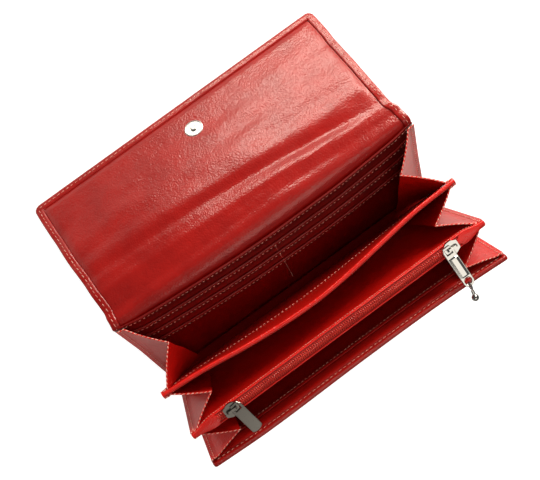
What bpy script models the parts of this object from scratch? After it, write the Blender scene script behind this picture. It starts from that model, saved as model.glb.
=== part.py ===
"""Ladies' flap purse in smooth red leather, standing open like a tent.

The purse stands on its bottom strip and on the free edge of its folded-back flap.
Its back panel, divider, zip pocket and front panel fan out from the bottom strip.
X runs along the purse, +Y is the back, +Z is up, and lengths are in metres.
The origin is the middle of the bottom strip's underside.
"""

from math import asin, atan2, cos, hypot, pi, radians, sin, sqrt

import bmesh
import bpy
from mathutils import Vector

# Whole purse
PURSE_LENGTH = 0.190
CLOSED_DEPTH = 0.026
BACK_HEIGHT = 0.096
DIVIDER_HEIGHT = 0.0865
ZIP_POCKET_HEIGHT = 0.0885
FRONT_RISE = 0.0020
FLAP_HEIGHT = 0.0662
FLAP_SIDE_INSET = 0.0010

# Angles of the open purse, measured from the ground at the back
BACK_ANGLE = radians(48.8)
DIVIDER_ANGLE = radians(69.0)
ZIP_POCKET_ANGLE = radians(81.8)
FRONT_ANGLE = radians(90.6)
SPINE_ANGLE = radians(-48.0)

# Leather, board and cloth
COVER_THICKNESS = 0.0012
LINING_THICKNESS = 0.0008
BOARD_THICKNESS = 0.0008
CARD_LEATHER = 0.0006
DIVIDER_LEATHER = 0.0007
DIVIDER_BOARD = 0.0005
POCKET_LEATHER = 0.0009
POCKET_CLOTH = 0.0004
GUSSET_LEATHER = 0.0007

# Clearances
LAYER_GAP = 0.0002
CLEARANCE = 0.0003
FOOT_GAP_BACK = 0.0010
FOOT_GAP = 0.0006
FOLD_ROLL_RADIUS = 0.0012
FOLD_ROOM = 0.0021

# Edges and corners
COVER_EDGE_RADIUS = 0.0004
PANEL_CORNER = 0.0025
FLAP_CORNER = 0.0055
BOARD_INSET = 0.0035
BINDING_WIDTH = 0.0045
BINDING_THICKNESS = 0.0010
BINDING_GROOVE = 0.0004

# Bottom strip
BOTTOM_LINING_INSET = 0.0025
BOTTOM_EDGE_RADIUS = 0.0004

# Card slots on the back panel
CARD_SLOT_COUNT = 4
CARD_FIRST_DROP = 0.0060
CARD_STEP = 0.0117
CARD_FOOT = 0.0080
CARD_LIP_RADIUS = 0.0002

# Slip pocket inside the front panel
SLIP_DROP = 0.0130
SLIP_FOOT = 0.0060

# Gussets
GUSSET_FLANGE = 0.0040
GUSSET_END_INSET = 0.0008
GUSSET_FOLD_PLACE = 0.0725
GUSSET_FOOT = 0.0060
GUSSET_TOP_DROP = 0.0015
GUSSET_BACK_DROP = 0.0060
GUSSET_ROWS = 6

# Zip pocket
POCKET_HALF_TOP = 0.0033
POCKET_HALF_FOOT = 0.0013
CLOTH_DEPTH = 0.0680
CLOTH_DROP = 0.0024
TAPE_THICKNESS = 0.0004
TAPE_DROP = 0.0003
COIL_HEIGHT = 0.0012
COIL_HALF_WIDTH = 0.0016
COIL_CORD_WIDTH = 0.0008
TOOTH_PITCH = 0.0016
TOOTH_WIDTH = 0.0006
TOOTH_OVERLAP = 0.0004
ZIP_END_LENGTH = 0.0170
PATCH_THICKNESS = 0.0008
PATCH_TONGUE = 0.0035
PATCH_END_HALF = 0.0018

# Zip sliders
SLIDER_LENGTH = 0.0085
SLIDER_NOSE_LENGTH = 0.0030
SLIDER_HALF_WIDTH = 0.0037
SLIDER_NOSE_HALF_WIDTH = 0.0027
SLIDER_CORNER = 0.0009
SLIDER_PLATE = 0.0007
SLIDER_RUN = 0.00025
BRIDGE_LENGTH = 0.0062
BRIDGE_WIDTH = 0.0012
BRIDGE_LEG = 0.0009
BRIDGE_WINDOW = 0.0013
BRIDGE_BAR = 0.0007
BRIDGE_SEAT = 0.0003
LOWER_PLATE_THICKNESS = 0.0006
SLIDER_A_FROM_END = 0.0084
SLIDER_B_FROM_END = 0.0060

# Pulls, ring link and ball
PULL_THICKNESS = 0.0008
PULL_CHAMFER = 0.00025
PULL_RISE = radians(1.5)
PULL_A_TURN = radians(9.0)
PULL_A_LENGTH = 0.0170
PULL_A_WIDTH = 0.0066
PULL_A_END_RISE = 0.0012
PULL_B_LENGTH = 0.0226
PULL_B_WIDTH = 0.0062
PULL_HEAD_RISE = 0.0022
EYE_LENGTH = 0.0030
EYE_WIDTH = 0.0034
EYE_BACK = 0.0010
TAIL_HOLE_RADIUS = 0.0020
TAIL_RIM = 0.0014
RING_WIRE_RADIUS = 0.0005
RING_RADIUS = 0.0019
CHARM_NECK_RADIUS = 0.0009
CHARM_NECK_LENGTH = 0.0024
CHARM_BALL_RADIUS = 0.0020
CHARM_LEAN = radians(-11.0)

# Press stud
STUD_FROM_EDGE = 0.0210
STUD_RADIUS = 0.0053
STUD_FLANGE = 0.0004
STUD_RIM = 0.0008
STUD_RIM_HEIGHT = 0.0006
STUD_POST_RADIUS = 0.0017
STUD_POST_HEIGHT = 0.0014
SOCKET_HEIGHT = 0.0009
SOCKET_RADIUS = 0.0058
SOCKET_BORE = 0.0024
SNAP_CLEARANCE = 0.0004
SNAP_OFF_CENTRE = 0.0015

# Smoothness
CORNER_STEPS = 5
ROUND_SEGMENTS = 28
SMALL_SEGMENTS = 16
CUT_OVERRUN = 0.0010

# Colours (linear) and finishes
RED_LEATHER = (0.46, 0.030, 0.022, 1.0)
DARK_RED_LEATHER = (0.30, 0.012, 0.012, 1.0)
RED_CLOTH = (0.26, 0.012, 0.014, 1.0)
RED_TAPE = (0.38, 0.020, 0.018, 1.0)
GREY_BOARD = (0.34, 0.30, 0.25, 1.0)
BRIGHT_NICKEL = (0.80, 0.78, 0.75, 1.0)
SATIN_NICKEL = (0.34, 0.31, 0.28, 1.0)
LEATHER_ROUGHNESS = 0.38
CLOTH_ROUGHNESS = 0.85
BOARD_ROUGHNESS = 0.90
BRIGHT_ROUGHNESS = 0.12
SATIN_ROUGHNESS = 0.35
METALLIC = 1.0

# Layers counted from each panel's hinge plane, which is its cover's inner face
HALF_LENGTH = PURSE_LENGTH / 2
BOARD_AT = LAYER_GAP
LINING_AT = BOARD_AT + BOARD_THICKNESS + LAYER_GAP
POCKETS_AT = LINING_AT + LINING_THICKNESS + LAYER_GAP
CARD_PITCH = CARD_LEATHER + LAYER_GAP
BACK_INNER = POCKETS_AT + CARD_SLOT_COUNT * CARD_PITCH
FRONT_INNER = POCKETS_AT + CARD_PITCH
DIVIDER_HALF = DIVIDER_LEATHER + LAYER_GAP + DIVIDER_BOARD / 2
GUSSET_PACK = GUSSET_LEATHER + LAYER_GAP

# Hinge lines of the panels on the bottom strip
BACK_AXIS_Y = CLOSED_DEPTH / 2 - COVER_THICKNESS
FRONT_AXIS_Y = -BACK_AXIS_Y
OUTER_AXIS_Z = COVER_THICKNESS + CLEARANCE
BOTTOM_LINING_TOP = COVER_THICKNESS + LAYER_GAP + CARD_LEATHER
INNER_AXIS_Z = BOTTOM_LINING_TOP + CLEARANCE
DIVIDER_AXIS_Y = BACK_AXIS_Y - BACK_INNER - 2 * GUSSET_PACK - CLEARANCE - DIVIDER_HALF
ZIP_AXIS_Y = DIVIDER_AXIS_Y - DIVIDER_HALF - 2 * GUSSET_PACK - CLEARANCE - POCKET_HALF_TOP

# Spine and flap: closed, they reach just past the front's press stud socket
FLAP_INNER = LINING_AT + LINING_THICKNESS
SNAP_PACK = SOCKET_HEIGHT + SNAP_CLEARANCE + STUD_RIM_HEIGHT + 2 * LAYER_GAP
SPINE_WIDTH = CLOSED_DEPTH - COVER_THICKNESS + SNAP_PACK + FLAP_INNER

# The front reaches past the zip pocket, and the zip keeps its distance from the purse's ends
FRONT_HEIGHT = ZIP_POCKET_HEIGHT + FRONT_RISE
COIL_HALF_LENGTH = HALF_LENGTH - ZIP_END_LENGTH
SLIDER_A_PLACE = SLIDER_A_FROM_END - COIL_HALF_LENGTH
SLIDER_B_PLACE = COIL_HALF_LENGTH - SLIDER_B_FROM_END

# Heights of the zip's parts above the zip pocket's hinge line
TAPE_TOP = ZIP_POCKET_HEIGHT - TAPE_DROP
SLIDER_FOOT = ZIP_POCKET_HEIGHT + CLEARANCE
CHANNEL_TOP = TAPE_TOP + LAYER_GAP + COIL_HEIGHT + SLIDER_RUN
SLIDER_TOP = CHANNEL_TOP + SLIDER_PLATE
PULL_PLANE = SLIDER_TOP + BRIDGE_WINDOW / 2
BRIDGE_LEG_AT = (BRIDGE_LENGTH - BRIDGE_LEG) / 2


def clear_scene():
    """Remove every object, so that the file holds the purse alone."""
    for thing in list(bpy.data.objects):
        bpy.data.objects.remove(thing, do_unlink=True)


def new_collection(name):
    """Return a new collection linked to the scene."""
    group = bpy.data.collections.new(name)
    bpy.context.scene.collection.children.link(group)
    return group


def finish(name, colour, roughness, metallic=0.0):
    """Return a Principled material of one colour."""
    made = bpy.data.materials.new(name)
    made.use_nodes = True
    shader = made.node_tree.nodes["Principled BSDF"]
    shader.inputs["Base Color"].default_value = colour
    shader.inputs["Roughness"].default_value = roughness
    shader.inputs["Metallic"].default_value = metallic
    made.diffuse_color = colour
    return made


def hinge_frame(name, place, angle, parent=None):
    """Return an empty on a hinge line: its Z runs up the panel, its Y points out at the back."""
    empty = bpy.data.objects.new(name, None)
    empty.empty_display_size = SLIDER_LENGTH
    empty.parent = parent
    empty.location = place
    empty.rotation_euler = (angle, 0, 0)
    PARTS.objects.link(empty)
    return empty


def add_object(name, data, parent, material, group=None):
    """Link a new object that holds data, under parent and with its material."""
    thing = bpy.data.objects.new(name, data)
    (group or PARTS).objects.link(thing)
    thing.parent = parent
    data.materials.append(material)
    return thing


def outline_curve(name, outlines, thickness, edge=0.0):
    """Return a filled 2D curve of closed outlines, thickness deep in all, with rounded edges."""
    curve = bpy.data.curves.new(name, "CURVE")
    curve.dimensions = "2D"
    curve.fill_mode = "BOTH"
    curve.extrude = thickness / 2 - edge
    curve.bevel_depth = edge
    curve.bevel_resolution = 0
    curve.offset = -edge
    for points in outlines:
        spline = curve.splines.new("POLY")
        spline.points.add(len(points) - 1)
        for knot, (across, along) in zip(spline.points, points):
            knot.co = (across, along, 0, 1)
        spline.use_cyclic_u = True
    return curve


def sheet(name, outlines, low, high, parent, material, edge=0.0):
    """Stand a flat piece up in its panel's frame, from depth low to depth high along Y."""
    thing = add_object(name, outline_curve(name, outlines, high - low, edge), parent, material)
    thing.location = (0, (low + high) / 2, 0)
    thing.rotation_euler = (pi / 2, 0, 0)
    return thing


def bar(name, outlines, length, parent, material, middle=0.0):
    """Run a profile drawn in Y and Z along X, centred at middle."""
    thing = add_object(name, outline_curve(name, outlines, length), parent, material)
    thing.location = (middle, 0, 0)
    thing.rotation_euler = (pi / 2, 0, pi / 2)
    return thing


def arc(centre, radius, start, stop, steps):
    """Return points on an arc, both ends included."""
    turn = (stop - start) / steps
    return [
        (centre[0] + radius * cos(start + turn * i), centre[1] + radius * sin(start + turn * i))
        for i in range(steps + 1)
    ]


def circle(centre, radius, segments):
    """Return the points of a closed circle."""
    return arc(centre, radius, 0, 2 * pi, segments)[:-1]


def box_outline(low, high):
    """Return a rectangle between two opposite corners."""
    return [(low[0], low[1]), (high[0], low[1]), (high[0], high[1]), (low[0], high[1])]


def panel_outline(half_width, foot, top, corner):
    """Return a panel that stands on a straight foot and has two rounded top corners."""
    right = arc((half_width - corner, top - corner), corner, 0, pi / 2, CORNER_STEPS)
    left = arc((corner - half_width, top - corner), corner, pi / 2, pi, CORNER_STEPS)
    return [(-half_width, foot), (half_width, foot)] + right + left


def three_sided_strip(half_width, foot, top, corner, width):
    """Return the strip that runs up one side of a panel, along its top and down the other."""
    outer = panel_outline(half_width, foot, top, corner)
    inner = panel_outline(half_width - width, foot, top - width, corner - width)
    return outer[1:] + [outer[0], inner[0]] + inner[:0:-1]


def mesh_from(curve_object):
    """Turn a curve object into a welded mesh object of the same name, place and material."""
    name, parent = curve_object.name, curve_object.parent
    bpy.context.view_layer.update()
    depsgraph = bpy.context.evaluated_depsgraph_get()
    mesh = bpy.data.meshes.new_from_object(curve_object.evaluated_get(depsgraph))
    form = bmesh.new()
    form.from_mesh(mesh)
    bmesh.ops.remove_doubles(form, verts=form.verts, dist=CLEARANCE / ROUND_SEGMENTS)
    bmesh.ops.recalc_face_normals(form, faces=form.faces)
    form.to_mesh(mesh)
    form.free()
    group = curve_object.users_collection[0]
    place = curve_object.matrix_basis.copy()
    bpy.data.objects.remove(curve_object, do_unlink=True)
    thing = bpy.data.objects.new(name, mesh)
    group.objects.link(thing)
    thing.parent = parent
    thing.matrix_basis = place
    return thing


def boolean(target, tool, operation):
    """Cut tool from target, or join it on, and keep tool as a wire guide."""
    step = target.modifiers.new(operation.title() + " " + tool.name, "BOOLEAN")
    step.operation = operation
    step.solver = "EXACT"
    step.object = tool
    tool.hide_render = True
    tool.display_type = "WIRE"
    for group in list(tool.users_collection):
        group.objects.unlink(tool)
    CUTTERS.objects.link(tool)


def box_tool(name, low, high, parent, material):
    """Return a box between two corners, for a cut or a join."""
    form = bmesh.new()
    bmesh.ops.create_cube(form, size=1)
    size = Vector(high) - Vector(low)
    bmesh.ops.scale(form, vec=size, verts=form.verts)
    mesh = bpy.data.meshes.new(name)
    form.to_mesh(mesh)
    form.free()
    thing = add_object(name, mesh, parent, material)
    thing.location = (Vector(high) + Vector(low)) / 2
    return thing


def turned(name, profile, parent, material, segments=ROUND_SEGMENTS):
    """Spin a profile of radius and height, listed from top to bottom, about the object's Z."""
    mesh = bpy.data.meshes.new(name)
    points = [(radius, 0, height) for radius, height in profile]
    mesh.from_pydata(points, [(i, i + 1) for i in range(len(points) - 1)], [])
    thing = add_object(name, mesh, parent, material)
    spin = thing.modifiers.new("Turn", "SCREW")
    spin.steps = segments
    spin.render_steps = segments
    spin.use_merge_vertices = True
    spin.merge_threshold = CLEARANCE / ROUND_SEGMENTS
    spin.use_smooth_shade = True
    return thing


def fold_roll(name, parent, place, material):
    """Add the rolled leather edge on a fold line, round which two panels turn."""
    rim = circle(place, FOLD_ROLL_RADIUS, SMALL_SEGMENTS)
    return bar(name, [rim], PURSE_LENGTH - 2 * COVER_EDGE_RADIUS, parent, material)


def bottom_strip():
    """Build the strip that the purse stands on and the lining over it."""
    half_depth = CLOSED_DEPTH / 2
    rim = BOTTOM_EDGE_RADIUS
    profile = [
        (-half_depth + rim, 0),
        (half_depth - rim, 0),
        (half_depth, rim),
        (half_depth, COVER_THICKNESS - rim),
        (half_depth - rim, COVER_THICKNESS),
        (-half_depth + rim, COVER_THICKNESS),
        (-half_depth, COVER_THICKNESS - rim),
        (-half_depth, rim),
    ]
    bar("bottom_cover", [profile], PURSE_LENGTH, None, LEATHER)
    inner = half_depth - BOTTOM_LINING_INSET
    lining = box_outline((-inner, COVER_THICKNESS + LAYER_GAP), (inner, BOTTOM_LINING_TOP))
    bar("bottom_lining", [lining], PURSE_LENGTH - 2 * BOARD_INSET, None, DARK_LEATHER)


def back_panel(frame):
    """Build the back panel: cover, board, lining and four staggered card slots."""
    cover = box_outline((-HALF_LENGTH, FOOT_GAP_BACK), (HALF_LENGTH, BACK_HEIGHT - FOLD_ROOM))
    sheet("back_cover", [cover], 0, COVER_THICKNESS, frame, LEATHER, COVER_EDGE_RADIUS)
    board = box_outline(
        (BOARD_INSET - HALF_LENGTH, BOARD_INSET), (HALF_LENGTH - BOARD_INSET, BACK_HEIGHT - BOARD_INSET)
    )
    sheet("back_board", [board], -BOARD_AT - BOARD_THICKNESS, -BOARD_AT, frame, BOARD)
    lining = panel_outline(HALF_LENGTH - CLEARANCE, CARD_FOOT / 2, BACK_HEIGHT - BOARD_INSET, PANEL_CORNER)
    sheet("back_lining", [lining], -LINING_AT - LINING_THICKNESS, -LINING_AT, frame, LEATHER)
    for slot in range(CARD_SLOT_COUNT):
        add_card_slot(slot, frame)
    fold_roll("back_fold_roll", frame, (0, BACK_HEIGHT), LEATHER)


def add_card_slot(slot, frame):
    """Lay one card slot over the last: each is a little lower and nearer the middle."""
    half = HALF_LENGTH - GUSSET_END_INSET
    top = BACK_HEIGHT - CARD_FIRST_DROP - slot * CARD_STEP
    outline = box_outline((-half, CARD_FOOT), (half, top))
    face = -POCKETS_AT - slot * CARD_PITCH
    name = f"card_slot_{slot + 1}"
    sheet(name, [outline], face - CARD_LEATHER, face, frame, DARK_LEATHER, CARD_LIP_RADIUS)


def spine_panel(frame):
    """Build the soft spine that bridges the closed purse's top."""
    cover = box_outline((-HALF_LENGTH, FOLD_ROOM), (HALF_LENGTH, SPINE_WIDTH - FOLD_ROOM))
    sheet("spine_cover", [cover], 0, COVER_THICKNESS, frame, LEATHER, COVER_EDGE_RADIUS)
    inset = FLAP_INNER + CLEARANCE
    half = HALF_LENGTH - BINDING_GROOVE
    lining = box_outline((-half, inset), (half, SPINE_WIDTH - inset))
    sheet("spine_lining", [lining], -LAYER_GAP - LINING_THICKNESS, -LAYER_GAP, frame, LEATHER)
    fold_roll("flap_fold_roll", frame, (0, SPINE_WIDTH), LEATHER)


def flap_panel(frame):
    """Build the flap: cover, board, inset lining, turned edge binding and press stud."""
    half_flap = HALF_LENGTH - FLAP_SIDE_INSET
    cover = panel_outline(half_flap, FOLD_ROOM, FLAP_HEIGHT, FLAP_CORNER)
    sheet("flap_cover", [cover], 0, COVER_THICKNESS, frame, LEATHER, COVER_EDGE_RADIUS)
    inset = FLAP_INNER + CLEARANCE
    reach = FLAP_HEIGHT - BINDING_WIDTH - BINDING_GROOVE
    half = half_flap - BINDING_WIDTH - BINDING_GROOVE
    corner = FLAP_CORNER - BINDING_WIDTH
    board = panel_outline(half, inset, reach, corner)
    sheet("flap_board", [board], -BOARD_AT - BOARD_THICKNESS, -BOARD_AT, frame, BOARD)
    sheet("flap_lining", [board], -LINING_AT - LINING_THICKNESS, -LINING_AT, frame, LEATHER)
    binding = three_sided_strip(half_flap, inset, FLAP_HEIGHT, FLAP_CORNER, BINDING_WIDTH)
    sheet("flap_binding", [binding], -LAYER_GAP - BINDING_THICKNESS, -LAYER_GAP, frame, LEATHER)
    press_stud(frame)


def press_stud(frame):
    """Add the stud under the flap that snaps into the front panel's socket."""
    profile = [
        (0, STUD_POST_HEIGHT),
        (STUD_POST_RADIUS * cos(pi / 4), STUD_POST_HEIGHT),
        (STUD_POST_RADIUS, STUD_POST_HEIGHT - STUD_POST_RADIUS * (1 - cos(pi / 4))),
        (STUD_POST_RADIUS, STUD_FLANGE),
        (STUD_RADIUS - STUD_RIM, STUD_FLANGE),
        (STUD_RADIUS - STUD_RIM / 2, STUD_RIM_HEIGHT),
        (STUD_RADIUS, STUD_FLANGE),
        (STUD_RADIUS, 0),
        (0, 0),
    ]
    stud = turned("snap_stud", profile, frame, NICKEL)
    stud.location = (SNAP_OFF_CENTRE, -FLAP_INNER - LAYER_GAP, FLAP_HEIGHT - STUD_FROM_EDGE)
    stud.rotation_euler = (pi / 2, 0, 0)


def divider(frame):
    """Build the divider: one skin folded over its top edge, with a board inside."""
    half = DIVIDER_HALF
    slot = half - DIVIDER_LEATHER
    top = DIVIDER_HEIGHT - half
    crown = arc((0, top), half, 0, pi, CORNER_STEPS * 2)
    inner = arc((0, top), slot, pi, 0, CORNER_STEPS * 2)
    feet = [(-half, FOOT_GAP), (-slot, FOOT_GAP)]
    hairpin = [(half, FOOT_GAP)] + crown + feet + inner + [(slot, FOOT_GAP)]
    bar("divider_skin", [hairpin], PURSE_LENGTH - 2 * GUSSET_END_INSET, frame, LEATHER)
    board = box_outline(
        (BOARD_INSET - HALF_LENGTH, BOARD_INSET), (HALF_LENGTH - BOARD_INSET, top - BOARD_INSET)
    )
    sheet("divider_board", [board], -DIVIDER_BOARD / 2, DIVIDER_BOARD / 2, frame, BOARD)


def pocket_half(height):
    """Return the zip pocket's half thickness at a height: it widens steadily to its top."""
    share = height / ZIP_POCKET_HEIGHT
    return POCKET_HALF_FOOT + (POCKET_HALF_TOP - POCKET_HALF_FOOT) * share


def zip_pocket(frame):
    """Build the zip pocket: two leaning walls, a cloth bag, end patches and the zip."""
    wall_top, wall_foot = pocket_half(ZIP_POCKET_HEIGHT), pocket_half(FOOT_GAP)
    length = PURSE_LENGTH - 2 * GUSSET_END_INSET
    for name, side in (("zip_pocket_back", 1), ("zip_pocket_front", -1)):
        wall = [
            (side * wall_foot, FOOT_GAP),
            (side * wall_top, ZIP_POCKET_HEIGHT),
            (side * (wall_top - POCKET_LEATHER), ZIP_POCKET_HEIGHT),
            (side * (wall_foot - POCKET_LEATHER), FOOT_GAP),
        ]
        bar(name, [wall], length, frame, LEATHER)
    cloth_top = ZIP_POCKET_HEIGHT - CLOTH_DROP
    cloth_foot = cloth_top - CLOTH_DEPTH
    skin = POCKET_LEATHER + LAYER_GAP
    high, low = pocket_half(cloth_top) - skin, pocket_half(cloth_foot) - skin
    bag = [
        (high, cloth_top),
        (high - POCKET_CLOTH, cloth_top),
        (low - POCKET_CLOTH, cloth_foot + POCKET_CLOTH),
        (POCKET_CLOTH - low, cloth_foot + POCKET_CLOTH),
        (POCKET_CLOTH - high, cloth_top),
        (-high, cloth_top),
        (-low, cloth_foot),
        (low, cloth_foot),
    ]
    bar("coin_pocket_cloth", [bag], 2 * COIL_HALF_LENGTH, frame, CLOTH)
    for name, side in (("zip_end_patch_left", -1), ("zip_end_patch_right", 1)):
        end_patch(name, side, frame)
    zip_chain(frame)


def end_patch(name, side, frame):
    """Add the leather patch that closes one end of the zip's opening, with a pointed tongue."""
    outer = HALF_LENGTH - GUSSET_END_INSET
    inner = COIL_HALF_LENGTH + CLEARANCE + PATCH_TONGUE
    half = POCKET_HALF_TOP
    outline = [
        (side * outer, -PATCH_END_HALF),
        (side * outer, PATCH_END_HALF),
        (side * inner, half),
        (side * (inner - PATCH_TONGUE), half - COIL_HALF_WIDTH),
        (side * (inner - PATCH_TONGUE), COIL_HALF_WIDTH - half),
        (side * inner, -half),
    ]
    patch = add_object(name, outline_curve(name, [outline], PATCH_THICKNESS), frame, LEATHER)
    patch.location = (0, 0, ZIP_POCKET_HEIGHT + LAYER_GAP + PATCH_THICKNESS / 2)


def comb_outline(side):
    """Return one row of the coil seen from above: a cord with teeth that reach past the middle."""
    shift = TOOTH_PITCH / 2 if side < 0 else 0
    count = int((2 * COIL_HALF_LENGTH - TOOTH_PITCH) / TOOTH_PITCH)
    first = -count * TOOTH_PITCH / 2 - TOOTH_PITCH / 4 + shift
    root = side * (COIL_HALF_WIDTH - COIL_CORD_WIDTH)
    tip = -side * TOOTH_OVERLAP
    cord = side * COIL_HALF_WIDTH
    points = [(COIL_HALF_LENGTH, cord), (-COIL_HALF_LENGTH, cord), (-COIL_HALF_LENGTH, root)]
    for tooth in range(count + 1):
        centre = first + tooth * TOOTH_PITCH
        left, right = centre - TOOTH_WIDTH / 2, centre + TOOTH_WIDTH / 2
        points += [(left, root), (left, tip), (right, tip), (right, root)]
    return points + [(COIL_HALF_LENGTH, root)]


def zip_chain(frame):
    """Build the two zip tapes and the two rows of meshing teeth that stand on them."""
    edge = pocket_half(TAPE_TOP - TAPE_THICKNESS) - POCKET_LEATHER - LAYER_GAP
    length = 2 * COIL_HALF_LENGTH
    for label, side in (("back", 1), ("front", -1)):
        strip = box_outline((side * LAYER_GAP, TAPE_TOP - TAPE_THICKNESS), (side * edge, TAPE_TOP))
        bar(f"zip_tape_{label}", [strip], length, frame, TAPE)
        name = f"zip_teeth_{label}"
        teeth = add_object(name, outline_curve(name, [comb_outline(side)], COIL_HEIGHT), frame, TAPE)
        teeth.location = (0, 0, TAPE_TOP + LAYER_GAP + COIL_HEIGHT / 2)


def slider_outline(facing):
    """Return a slider from above: broad shoulders that narrow to a nose."""
    back, front = -SLIDER_LENGTH / 2, SLIDER_LENGTH / 2
    waist = front - SLIDER_NOSE_LENGTH
    wide, narrow, corner = SLIDER_HALF_WIDTH, SLIDER_NOSE_HALF_WIDTH, SLIDER_CORNER
    upper = arc((back + wide, 0), wide, pi, pi / 2, CORNER_STEPS)
    nose = arc((front - corner, narrow - corner), corner, pi / 2, 0, CORNER_STEPS)
    half = upper + [(waist, wide)] + nose
    whole = half + [(along, -across) for along, across in reversed(half)][:-1]
    return [(facing * along, across) for along, across in whole]


def slider(label, place, facing, metal, frame):
    """Build a zip slider: grooved body, arched bridge and the lower plate under the tape."""
    runner = hinge_frame(f"slider_{label}_frame", (place, 0, 0), 0, frame)
    name = f"slider_{label}"
    height = SLIDER_TOP - SLIDER_FOOT
    body = add_object(name, outline_curve(name, [slider_outline(facing)], height), runner, metal)
    body.location = (0, 0, SLIDER_FOOT + height / 2)
    body = mesh_from(body)
    channel_half = COIL_HALF_WIDTH + SLIDER_RUN
    channel = box_tool(
        f"{name}_channel",
        (-SLIDER_LENGTH, -channel_half, SLIDER_FOOT - CUT_OVERRUN),
        (SLIDER_LENGTH, channel_half, CHANNEL_TOP),
        runner,
        metal,
    )
    boolean(body, channel, "DIFFERENCE")
    boolean(body, slider_bridge(name, runner, metal), "UNION")
    lower_plate(name, facing, runner, metal)
    return runner


def slider_bridge(name, runner, metal):
    """Return the arch over a slider, which a pull hangs round."""
    half, leg = BRIDGE_LENGTH / 2, BRIDGE_LEG
    window, top = SLIDER_TOP + BRIDGE_WINDOW, SLIDER_TOP + BRIDGE_WINDOW + BRIDGE_BAR
    seat = SLIDER_TOP - BRIDGE_SEAT
    arch = [
        (-half, seat),
        (-half, top - leg),
        (leg - half, top),
        (half - leg, top),
        (half, top - leg),
        (half, seat),
        (half - leg, seat),
        (half - leg, window),
        (leg - half, window),
        (leg - half, seat),
    ]
    bridge = sheet(f"{name}_bridge", [arch], -BRIDGE_WIDTH / 2, BRIDGE_WIDTH / 2, runner, metal)
    return mesh_from(bridge)


def lower_plate(name, facing, runner, metal):
    """Add the slider's lower plate, which runs between the pocket's walls under the tape."""
    plate_name = f"{name}_lower_plate"
    under = TAPE_TOP - TAPE_THICKNESS - CLEARANCE
    narrow = pocket_half(under - LOWER_PLATE_THICKNESS) - POCKET_LEATHER - CLEARANCE
    outline = [(along, across * narrow / SLIDER_HALF_WIDTH) for along, across in slider_outline(facing)]
    plate_curve = outline_curve(plate_name, [outline], LOWER_PLATE_THICKNESS)
    plate = add_object(plate_name, plate_curve, runner, metal)
    plate.location = (0, 0, under - LOWER_PLATE_THICKNESS / 2)


def pull_outline(length, width, end_rise):
    """Return a pull lying along -Y from its pivot: square head, straight sides, bowed end."""
    half = width / 2
    back = EYE_BACK + TAIL_RIM
    bow = (half * half + end_rise * end_rise) / (2 * end_rise)
    spread = asin(half / bow)
    tip = arc((0, bow - length), bow, -pi / 2 - spread, -pi / 2 + spread, 2 * CORNER_STEPS)
    head = half - PULL_HEAD_RISE / 2
    crown = [(half, back - PULL_HEAD_RISE), (head, back), (-head, back), (-half, back - PULL_HEAD_RISE)]
    return tip + crown


def pull(label, metal, parent, length, width, end_rise, turn, extra_holes):
    """Build a pull whose square eye hangs round one leg of its slider's bridge."""
    inner_leg = BRIDGE_LEG_AT if label == "a" else -BRIDGE_LEG_AT
    pivot = hinge_frame(f"pull_{label}_frame", (inner_leg, 0, PULL_PLANE), 0, parent)
    pivot.rotation_euler = (-PULL_RISE, 0, turn)
    eye = box_outline((-EYE_WIDTH / 2, EYE_BACK - EYE_LENGTH), (EYE_WIDTH / 2, EYE_BACK))
    outlines = [pull_outline(length, width, end_rise), eye] + extra_holes
    name = f"pull_{label}"
    add_object(name, outline_curve(name, outlines, PULL_THICKNESS, PULL_CHAMFER), pivot, metal)
    return pivot


def charm(parent):
    """Build the ring link and the ball that hang in the tail hole of the right-hand pull."""
    hang = TAIL_HOLE_RADIUS - RING_WIRE_RADIUS - LAYER_GAP
    hole_at = -(PULL_B_LENGTH - TAIL_HOLE_RADIUS - TAIL_RIM)
    pivot = hinge_frame("charm_frame", (0, hole_at, 0), 0, parent)
    pivot.rotation_euler = (0, 0, CHARM_LEAN)
    ring_link(pivot, -hang - RING_RADIUS)
    bead(pivot, -hang - RING_RADIUS)


def ring_link(pivot, centre):
    """Add the wire ring that links the pull's tail hole to the ball."""
    bpy.ops.mesh.primitive_torus_add(
        major_radius=RING_RADIUS,
        minor_radius=RING_WIRE_RADIUS,
        major_segments=ROUND_SEGMENTS,
        minor_segments=SMALL_SEGMENTS // 2,
    )
    ring = bpy.context.object
    ring.name = "charm_ring"
    ring.data.materials.append(NICKEL)
    for group in list(ring.users_collection):
        group.objects.unlink(ring)
    PARTS.objects.link(ring)
    ring.parent = pivot
    ring.location = (0, centre, 0)
    ring.rotation_euler = (0, pi / 2, 0)


def bead(pivot, centre):
    """Add the ball and its neck below the ring."""
    neck_from = RING_RADIUS + RING_WIRE_RADIUS + LAYER_GAP
    neck_to = neck_from + CHARM_NECK_LENGTH
    ball_at = neck_to + sqrt(CHARM_BALL_RADIUS**2 - CHARM_NECK_RADIUS**2)
    start = pi / 2 - asin(CHARM_NECK_RADIUS / CHARM_BALL_RADIUS)
    ball = arc((0, 0), CHARM_BALL_RADIUS, -pi / 2, start, 2 * CORNER_STEPS)
    sphere = [(max(radius, 0), -ball_at + height) for radius, height in ball]
    sphere[0] = (0, sphere[0][1])
    neck = [(CHARM_NECK_RADIUS, -neck_from), (0, -neck_from)]
    profile = list(reversed(sphere + neck))
    body = turned("charm_ball", profile, pivot, NICKEL, SMALL_SEGMENTS)
    body.location = (0, centre, 0)
    body.rotation_euler = (-pi / 2, 0, 0)


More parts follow.
